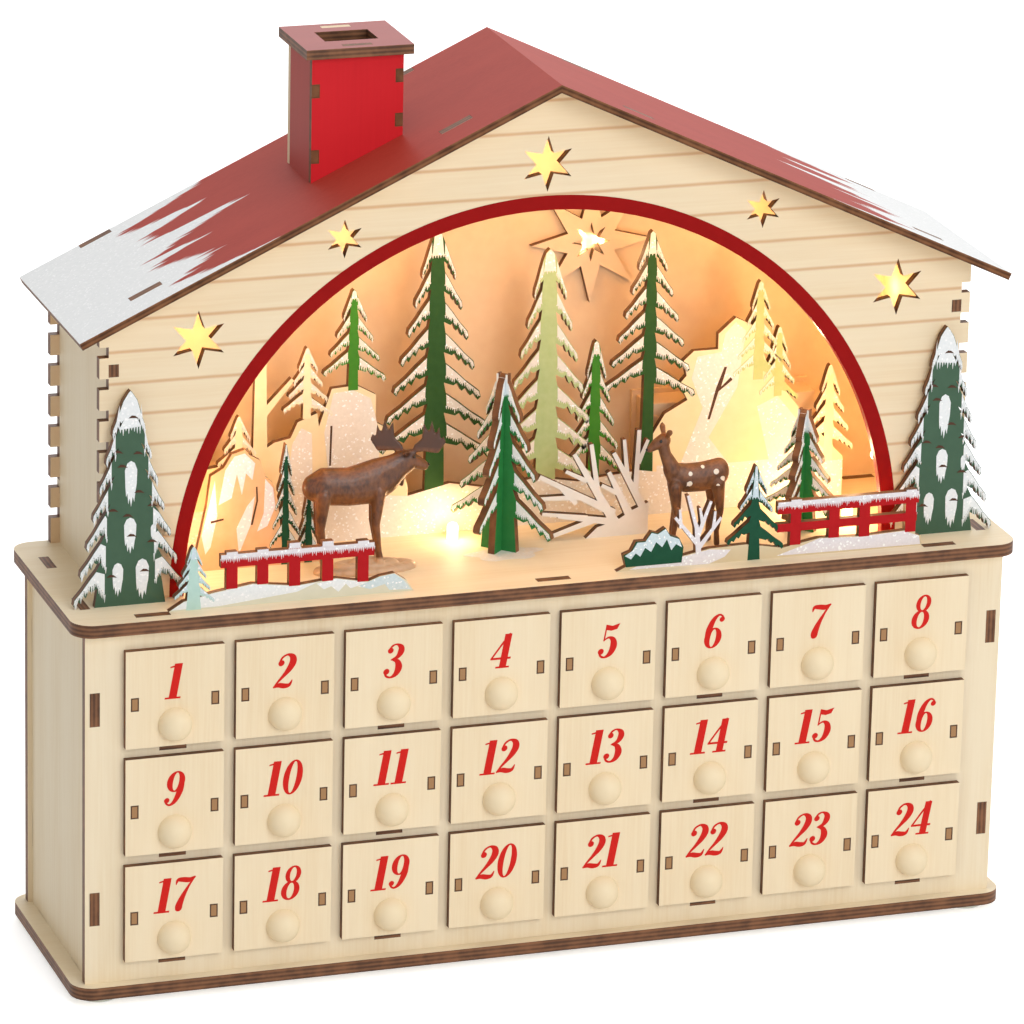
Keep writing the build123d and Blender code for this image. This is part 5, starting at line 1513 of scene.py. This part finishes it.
def ring(x, z, half_wide, half_high, steps=36):
    """An oval."""
    turns = [math.tau * step / steps for step in range(steps)]
    return [(x + half_wide * math.cos(t), z + half_high * math.sin(t)) for t in turns]


def bar(x0, x1, z0, z1):
    """An upright rectangle."""
    return [(x0, z0), (x1, z0), (x1, z1), (x0, z1)]


six_parts = [ring(0.27, 0.30, 0.25, 0.30), ring(0.435, 0.83, 0.075, 0.075)] + stroke(
    (0.11, 0.32, 0.17), (0.115, 0.58, 0.18), (0.20, 0.85, 0.13), (0.33, 0.965, 0.06), (0.44, 0.91, 0.05),
    (0.46, 0.83, 0.05),
)
six_holes = [ring(0.27, 0.30, 0.085, 0.255)]
digits = {
    "0": (0.54, [ring(0.27, 0.5, 0.27, 0.5)], [ring(0.27, 0.5, 0.10, 0.455)]),
    "1": (0.46, [
        bar(0.13, 0.35, 0.02, 1), bar(0.02, 0.46, 0, 0.05),
        [(0.35, 1), (0.02, 0.92), (0.02, 0.88), (0.14, 0.90)],
    ], []),
    "2": (0.54, [ring(0.115, 0.73, 0.085, 0.085)] + stroke(
        (0.06, 0.74, 0.05), (0.12, 0.89, 0.06), (0.26, 0.965, 0.06), (0.40, 0.89, 0.16), (0.44, 0.74, 0.20),
        (0.37, 0.55, 0.17), (0.24, 0.36, 0.10), (0.10, 0.18, 0.06), (0.03, 0.05, 0.05),
    ) + stroke(
        (0.03, 0.06, 0.06), (0.16, 0.10, 0.13), (0.32, 0.07, 0.14), (0.45, 0.09, 0.10), (0.51, 0.22, 0.03),
    ), []),
    "3": (0.54, [ring(0.11, 0.80, 0.08, 0.08), ring(0.10, 0.20, 0.085, 0.085)] + stroke(
        (0.06, 0.82, 0.04), (0.14, 0.93, 0.06), (0.26, 0.97, 0.05), (0.39, 0.88, 0.15), (0.41, 0.74, 0.18),
        (0.33, 0.60, 0.11), (0.18, 0.535, 0.04),
    ) + stroke(
        (0.20, 0.535, 0.04), (0.35, 0.48, 0.13), (0.43, 0.30, 0.20), (0.38, 0.12, 0.15), (0.25, 0.03, 0.06),
        (0.12, 0.07, 0.06), (0.05, 0.18, 0.05),
    ), []),
    "4": (0.58, [bar(0.29, 0.49, 0.02, 0.98), bar(0, 0.58, 0.25, 0.31), bar(0.19, 0.58, 0, 0.05)] + stroke(
        (0.43, 0.97, 0.06), (0.22, 0.63, 0.055), (0.02, 0.28, 0.05),
    ), []),
    "5": (0.54, [
        ring(0.10, 0.20, 0.085, 0.085), bar(0.11, 0.15, 0.50, 0.92),
        [(0.11, 0.98), (0.30, 0.93), (0.51, 0.99), (0.45, 0.83), (0.29, 0.79), (0.11, 0.83)],
    ] + stroke(
        (0.13, 0.53, 0.04), (0.26, 0.60, 0.06), (0.39, 0.52, 0.15), (0.44, 0.33, 0.20), (0.38, 0.13, 0.15),
        (0.24, 0.03, 0.06), (0.12, 0.07, 0.06), (0.05, 0.18, 0.05),
    ), []),
    "6": (0.54, six_parts, six_holes),
    "7": (0.54, stroke(
        (0.03, 0.80, 0.03), (0.06, 0.92, 0.10), (0.22, 0.92, 0.14), (0.38, 0.90, 0.14), (0.52, 0.97, 0.06),
    ) + stroke(
        (0.51, 0.96, 0.05), (0.39, 0.72, 0.07), (0.28, 0.44, 0.14), (0.22, 0.20, 0.20), (0.22, 0.10, 0.20),
    ), []),
    "8": (
        0.54, [ring(0.27, 0.745, 0.22, 0.255), ring(0.27, 0.28, 0.26, 0.28)],
        [ring(0.27, 0.75, 0.09, 0.20), ring(0.27, 0.275, 0.10, 0.225)],
    ),
    "9": (
        0.54, [[(0.54 - x, 1 - z) for x, z in part] for part in six_parts],
        [[(0.54 - x, 1 - z) for x, z in hole] for hole in six_holes],
    ),
}
print(len(digits), "digits")

# %% [markdown]
# The digits of a number stand side by side, are slanted, and are centred above the knob. Each number
# rides on its own drawer.

# %% Numbers on the drawers
number_red = moulded("printed_red_number", "#CB1C16", "#D6251D", 0.6, 2.0, 0.15)[0]
for number in range(1, 25):
    text = str(number)
    wide = sum(digits[d][0] for d in text) + digit_gap * (len(text) - 1)
    x_mid, z_mid = drawer_centre(number)
    face = Face((x_mid, front_y - ply_thick, z_mid + number_rise), (1, 0, 0), (0, 0, 1))
    start = -wide / 2
    parts, holes = [], []
    for d in text:
        advance, solid, gaps = digits[d]
        for outlines, kept in ((solid, parts), (gaps, holes)):
            for outline in outlines:
                kept.append([
                    ((start + x + slant * (z - 0.5)) * digit_high, (z - 0.5) * digit_high)
                    for x, z in outline
                ])
        start += advance + digit_gap
    paint_sheet(f"number_{number:02d}", parts, face, 0, number_red, holes, f"drawer_{number:02d}")
print("numbers 1 to 24")

# %% [markdown]
# ## Moose and fawn
# The animals are small resin casts. Each starts as a heap of balls: a row of ovals for the trunk,
# tapering chains for legs, neck and head, and thin plates for the antlers. A voxel remesh fuses the heap
# into one skin, and a few rounds of smoothing take out the steps, as a modeller's thumb would.

# %% Figures
pattern = bmesh.new()
bmesh.ops.create_uvsphere(pattern, u_segments=14, v_segments=9, radius=1)
ball_points = [tuple(vert.co) for vert in pattern.verts]
# Blender lists these faces in another order in each run, so they are put in order here
ball_faces = sorted([vert.index for vert in face.verts] for face in pattern.faces)
pattern.free()


class Heap:
    """Points and faces of many small bodies, before they are fused."""

    def __init__(self):
        self.points, self.faces = [], []

    def add(self, points, faces):
        start = len(self.points)
        self.points += [tuple(c * mm for c in point) for point in points]
        self.faces += [[start + i for i in face] for face in faces]

    def mesh(self, name):
        made = bpy.data.meshes.new(name)
        made.from_pydata(self.points, [], self.faces)
        return made


def ball(heap, at, sizes):
    """Add an oval ball to a heap."""
    heap.add([[a + c * s for a, c, s in zip(at, point, sizes)] for point in ball_points], ball_faces)


def chain(heap, points, gap=0.35):
    """Balls in a row from place to place, their radius changing evenly."""
    for (a, r), (b, s) in zip(points, points[1:]):
        a, b = Vector(a), Vector(b)
        count = max(2, int((b - a).length / (gap * min(r, s))) + 1)
        for step in range(count + 1):
            t = step / count
            radius = r + (s - r) * t
            ball(heap, a.lerp(b, t), (radius, radius, radius))


def oval_row(heap, rings, place, size):
    """Ovals along a trunk from shares: along, up, half width and half height."""
    for (x0, z0, w0, h0), (x1, z1, w1, h1) in zip(rings, rings[1:]):
        for step in range(6):
            t = step / 6
            at = place(x0 + (x1 - x0) * t, 0, z0 + (z1 - z0) * t)
            half_wide, half_high = w0 + (w1 - w0) * t, h0 + (h1 - h0) * t
            ball(heap, at, (min(half_wide, half_high) * size, half_wide * size, half_high * size))


def plate(heap, outline, at, across, up, thick):
    """Add a thin closed plate to a heap, for an antler."""
    out = Vector(across).cross(Vector(up))
    count = len(outline)
    points = [
        Vector(at) + Vector(across) * x + Vector(up) * z + out * side
        for side in (-thick / 2, thick / 2)
        for x, z in outline
    ]
    sides = [(i, (i + 1) % count, (i + 1) % count + count, i + count) for i in range(count)]
    heap.add(points, [list(reversed(range(count))), list(range(count, 2 * count)), *sides])


def fused(name, heap, voxel, rounds, material, node):
    """Turn a heap into one smooth skin that takes the place of the plain solid."""
    piece = bpy.data.objects.new(name, heap.mesh(name))
    bpy.context.scene.collection.objects.link(piece)
    remesh = piece.modifiers.new("skin", "REMESH")
    remesh.mode = "VOXEL"
    remesh.voxel_size = voxel * mm
    soften = piece.modifiers.new("soften", "SMOOTH")
    soften.iterations = rounds
    depsgraph = bpy.context.evaluated_depsgraph_get()
    made = bpy.data.meshes.new_from_object(piece.evaluated_get(depsgraph))
    piece.modifiers.clear()
    piece.data = made
    made.materials.clear()
    made.materials.append(material)
    made.polygons.foreach_set("use_smooth", [True] * len(made.polygons))
    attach(piece, "calendar")
    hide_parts(node)
    return piece


def fur_finish(name, dark, light, sheen):
    """Painted resin fur: short streaks over darker and lighter patches, with a slight gloss."""
    made, tree, shader = new_material(name)
    place = put(tree, "ShaderNodeTexCoord")
    hairs = put(
        tree, "ShaderNodeMapping", None,
        {"Vector": place.outputs["Object"], "Scale": (1 / (1.4 * mm), 1 / (0.7 * mm), 1 / (2.4 * mm))},
    )
    fine = put(tree, "ShaderNodeTexNoise", None, {"Vector": hairs.outputs[0], "Scale": 1, "Detail": 4})
    patch = put(
        tree, "ShaderNodeTexNoise", None,
        {"Vector": place.outputs["Object"], "Scale": 1 / (9 * mm), "Detail": 2},
    )
    share = put(
        tree, "ShaderNodeMath", {"operation": "MULTIPLY_ADD"},
        {0: fine.outputs[0], 1: 0.7, 2: patch.outputs[0]},
    )
    share = put(
        tree, "ShaderNodeMapRange", None, {"Value": share.outputs[0], "From Min": 0.62, "From Max": 1.05},
    )
    coat = put(
        tree, "ShaderNodeMix", {"data_type": "RGBA"},
        {0: share.outputs[0], 6: linear(dark), 7: linear(light)},
    )
    bump = put(
        tree, "ShaderNodeBump", None, {"Strength": 0.5, "Distance": 0.25 * mm, "Height": fine.outputs[0]},
    )
    tree.links.new(bump.outputs[0], shader.inputs["Normal"])
    tree.links.new(coat.outputs[2], shader.inputs["Base Color"])
    shader.inputs["Roughness"].default_value = sheen
    return made, tree, shader, place, coat.outputs[2]


moose_size, moose_x, moose_y = 61.0, -70.0, -13.3
moose_rings = (
    (-0.42, 0.60, 0.020, 0.030), (-0.38, 0.605, 0.060, 0.085), (-0.29, 0.605, 0.092, 0.130),
    (-0.12, 0.590, 0.095, 0.132), (0.06, 0.615, 0.094, 0.155), (0.16, 0.655, 0.072, 0.130),
    (0.24, 0.715, 0.056, 0.095), (0.31, 0.745, 0.050, 0.070),
)
moose_legs = ((-0.31, -0.060), (-0.29, 0.060), (0.07, -0.058), (0.09, 0.058))
antler_shares = (
    (0.02, 0.00), (0.10, 0.02), (0.20, 0.01), (0.25, 0.09), (0.235, 0.13), (0.215, 0.10), (0.205, 0.20),
    (0.18, 0.13), (0.155, 0.24), (0.135, 0.15), (0.10, 0.22), (0.09, 0.11), (0.04, 0.06),
)


def moose_at(along, across, up):
    """A place on the moose from shares of its height."""
    return (moose_x + along * moose_size, moose_y + across * moose_size, scene_z + up * moose_size)


heap = Heap()
oval_row(heap, moose_rings, moose_at, moose_size)
for along, across in moose_legs:
    chain(heap, [
        (moose_at(along, across * 0.9, 0.56), 3.4), (moose_at(along - 0.02, across, 0.33), 1.9),
        (moose_at(along + 0.005, across, 0.15), 1.3), (moose_at(along + 0.015, across, 0.07), 1.7),
    ])
chain(
    heap,
    [(moose_at(0.29, 0, 0.755), 3.1), (moose_at(0.35, 0, 0.72), 2.7), (moose_at(0.395, 0, 0.695), 2.1)],
)
chain(heap, [(moose_at(0.24, 0, 0.62), 1.6), (moose_at(0.245, 0, 0.575), 0.9)])
chain(heap, [(moose_at(-0.41, 0, 0.62), 1.2), (moose_at(-0.415, 0, 0.57), 0.8)])
for side in (-1, 1):
    chain(heap, [(moose_at(0.265, side * 0.035, 0.79), 1.1), (moose_at(0.235, side * 0.09, 0.815), 0.7)])
angle = math.radians(-22)
for side in (-1, 1):
    palm = [(side * x * moose_size, z * moose_size) for x, z in antler_shares]
    across = (math.cos(angle), math.sin(angle), 0)
    plate(heap, turned_left(palm), moose_at(0.285, 0, 0.785), across, (0, 0, 1), 1.4)
moose_fur, tree, shader, place, coat = fur_finish("painted_resin_moose", "#3E1F10", "#7E4B25", 0.35)
spot = put(tree, "ShaderNodeSeparateXYZ", None, {0: place.outputs["Object"]})
antler = put(
    tree, "ShaderNodeMapRange", None,
    {
        "Value": spot.outputs[2], "From Min": (scene_z + 0.815 * moose_size) * mm,
        "From Max": (scene_z + 0.84 * moose_size) * mm,
    },
)
horn = put(
    tree, "ShaderNodeMix", {"data_type": "RGBA"}, {0: antler.outputs[0], 6: coat, 7: linear("#4A2A17")},
)
stand_top = put(
    tree, "ShaderNodeMapRange", None,
    {
        "Value": spot.outputs[2], "From Min": (scene_z + 0.09 * moose_size) * mm,
        "From Max": (scene_z + 0.11 * moose_size) * mm,
    },
)
stand = put(
    tree, "ShaderNodeMix", {"data_type": "RGBA"},
    {0: stand_top.outputs[0], 6: linear("#C9A888"), 7: horn.outputs[2]},
)
tree.links.new(stand.outputs[2], shader.inputs["Base Color"])
for step in range(24):
    turn = math.tau * step / 24
    for share in (0.2, 0.6, 1.0):
        x, y = share * 0.30 * math.cos(turn), share * 0.09 * math.sin(turn)
        ball(heap, moose_at(x, y, 0.035 * (1.2 - share)), (3.6, 2.6, 2.8 * (1.25 - 0.4 * share)))
moose = fused("moose_cast", heap, 0.45, 6, moose_fur, "moose")
print(len(moose.data.polygons), "faces in the moose")

fawn_size, fawn_x, fawn_y = 51.5, 66.0, -18.3
fawn_rings = (
    (0.300, 0.60, 0.030, 0.045), (0.255, 0.60, 0.085, 0.115), (0.12, 0.57, 0.092, 0.122),
    (-0.02, 0.57, 0.088, 0.120), (-0.12, 0.60, 0.065, 0.105), (-0.17, 0.67, 0.050, 0.075),
)
fawn_legs = ((0.23, -0.070), (0.21, 0.070), (-0.13, -0.060), (-0.10, 0.060))


def fawn_at(along, across, up):
    """A place on the fawn from shares of its height."""
    return (fawn_x + along * fawn_size, fawn_y + across * fawn_size, scene_z + up * fawn_size)


heap = Heap()
oval_row(heap, fawn_rings, fawn_at, fawn_size)
for along, across in fawn_legs:
    chain(heap, [
        (fawn_at(along, across * 0.85, 0.52), 3.0), (fawn_at(along + 0.02, across, 0.30), 1.6),
        (fawn_at(along - 0.005, across, 0.13), 1.15), (fawn_at(along, across, 0.025), 1.3),
    ])
chain(
    heap, [(fawn_at(-0.13, 0, 0.64), 3.6), (fawn_at(-0.20, 0, 0.78), 2.4), (fawn_at(-0.225, 0, 0.88), 2.6)],
)
chain(
    heap,
    [(fawn_at(-0.215, 0, 0.90), 2.9), (fawn_at(-0.27, 0, 0.875), 2.4), (fawn_at(-0.335, 0, 0.83), 1.3)],
)
chain(heap, [(fawn_at(0.30, 0, 0.63), 1.4), (fawn_at(0.315, 0, 0.56), 0.9)])
for side in (-1, 1):
    chain(
        heap,
        [
            (fawn_at(-0.205, side * 0.035, 0.935), 1.0), (fawn_at(-0.20, side * 0.085, 0.985), 1.3),
            (fawn_at(-0.195, side * 0.11, 1.005), 0.5),
        ],
    )
fawn_fur, tree, shader, place, coat = fur_finish("painted_resin_fawn", "#4E2C17", "#86532D", 0.45)
spot = put(tree, "ShaderNodeSeparateXYZ", None, {0: place.outputs["Object"]})
cells = put(
    tree, "ShaderNodeTexVoronoi", None,
    {"Vector": place.outputs["Object"], "Scale": 1 / (4.6 * mm), "Randomness": 0.75},
)
dots = put(tree, "ShaderNodeMath", {"operation": "LESS_THAN"}, {0: cells.outputs["Distance"], 1: 0.26})
high = put(
    tree, "ShaderNodeMath", {"operation": "COMPARE"},
    {0: spot.outputs[2], 1: (scene_z + 0.62 * fawn_size) * mm, 2: 0.10 * fawn_size * mm},
)
rear = put(
    tree, "ShaderNodeMath", {"operation": "GREATER_THAN"},
    {0: spot.outputs[0], 1: (fawn_x - 0.04 * fawn_size) * mm},
)
dots = put(tree, "ShaderNodeMath", {"operation": "MULTIPLY"}, {0: dots.outputs[0], 1: high.outputs[0]})
dots = put(tree, "ShaderNodeMath", {"operation": "MULTIPLY"}, {0: dots.outputs[0], 1: rear.outputs[0]})
spotted = put(
    tree, "ShaderNodeMix", {"data_type": "RGBA"}, {0: dots.outputs[0], 6: coat, 7: linear("#F1E6D4")},
)
tree.links.new(spotted.outputs[2], shader.inputs["Base Color"])
fawn = fused("fawn_cast", heap, 0.4, 5, fawn_fur, "fawn")
print(len(fawn.data.polygons), "faces in the fawn")

eye_black = moulded("glossy_black_eye", "#0B0908", "#16120F", 0.12, 1.0)[0]
heap = Heap()
for side in (-1, 1):
    ball(heap, moose_at(0.315, side * 0.047, 0.775), (0.6, 0.5, 0.6))
    ball(heap, fawn_at(-0.255, side * 0.043, 0.905), (0.65, 0.5, 0.75))
ball(heap, moose_at(0.425, 0, 0.70), (0.7, 1.3, 0.7))
ball(heap, fawn_at(-0.352, 0, 0.83), (0.7, 0.8, 0.6))
mesh = heap.mesh("eyes_and_noses")
mesh.materials.append(eye_black)
mesh.polygons.foreach_set("use_smooth", [True] * len(mesh.polygons))
eyes = bpy.data.objects.new("eyes_and_noses", mesh)
bpy.context.scene.collection.objects.link(eyes)
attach(eyes, "calendar")
print("eyes and noses")

# %% [markdown]
# ## Lights
# Small warm lights sit behind the arch and on the floor. The bulbs themselves glow, and small lamps near
# them light the scene, so that the wall, which also carries a painted peach glow, turns peach and the floor
# turns yellow. Five more lamps light the wall behind the gable's star windows, and a ring of five lights it
# behind the window of the great star.

# %% Bulbs and lamps
bulb_glow, shader = moulded("led_warm_white", "#FFE9C4", "#FFF4DE", 0.3, 1.0)
shader.inputs["Emission Color"].default_value = linear("#FFD890")
shader.inputs["Emission Strength"].default_value = 6
dress("led_bulbs", bulb_glow)


def warm_lamp(name, x, y, z, power, size=3.0, tint="#FFD1A0"):
    """A small warm lamp, its place in millimetres."""
    data = bpy.data.lights.new(name, "POINT")
    data.energy = power
    data.shadow_soft_size = size * mm
    data.color = linear(tint)[:3]
    lamp = bpy.data.objects.new(name, data)
    bpy.context.scene.collection.objects.link(lamp)
    lamp.location = Vector((x, y, z)) * mm


led_round = 145.0
led_y = house_front_y + ply_thick + 14
arch_lamp_turns = (12, 34, 57, 80, 103, 126, 149, 168)
arch_lamp_power = 0.035
for number, turn in enumerate(arch_lamp_turns, 1):
    angle = math.radians(turn)
    led_x, led_rise = led_round * math.cos(angle), led_round * math.sin(angle)
    warm_lamp(f"arch_lamp_{number}", led_x, led_y, scene_z + led_rise, arch_lamp_power)

floor_lamp_rise = 9
floor_lamps = ((-23.8, 10, 0.018), (122, 8, 0.015), (141, -8, 0.020), (-128, 10, 0.003))
for number, (x, y, power) in enumerate(floor_lamps, 1):
    warm_lamp(f"floor_lamp_{number}", x, y, scene_z + floor_lamp_rise, power)

# A look from the front left and from above falls through a window on the wall further right and lower
window_places = ((0, 168.1), (-88, 143.1), (88, 143.1), (-147.5, 106.1), (147.5, 106.1))
spot_right, spot_drop, spot_gap = 22, 20, 14
window_power = 0.008
for number, (x, rise) in enumerate(window_places, 1):
    y, z = house_back_y - spot_gap, scene_z + rise - spot_drop
    warm_lamp(f"window_lamp_{number}", x + spot_right, y, z, window_power, 2.0, "#FFE08A")

star_mid_x, star_mid_rise, star_ring = 44.9, 112, 5
star_lamp_gap = 1.3
star_lamp_power = 0.006
for number in range(1, 6):
    angle = math.radians(72 * number)
    x, z = star_mid_x + star_ring * math.cos(angle), scene_z + (star_mid_rise + star_ring * math.sin(angle))
    warm_lamp(f"star_lamp_{number}", x, house_back_y - star_lamp_gap, z, star_lamp_power, 0.6, "#FFE2A8")
print("bulbs lit")
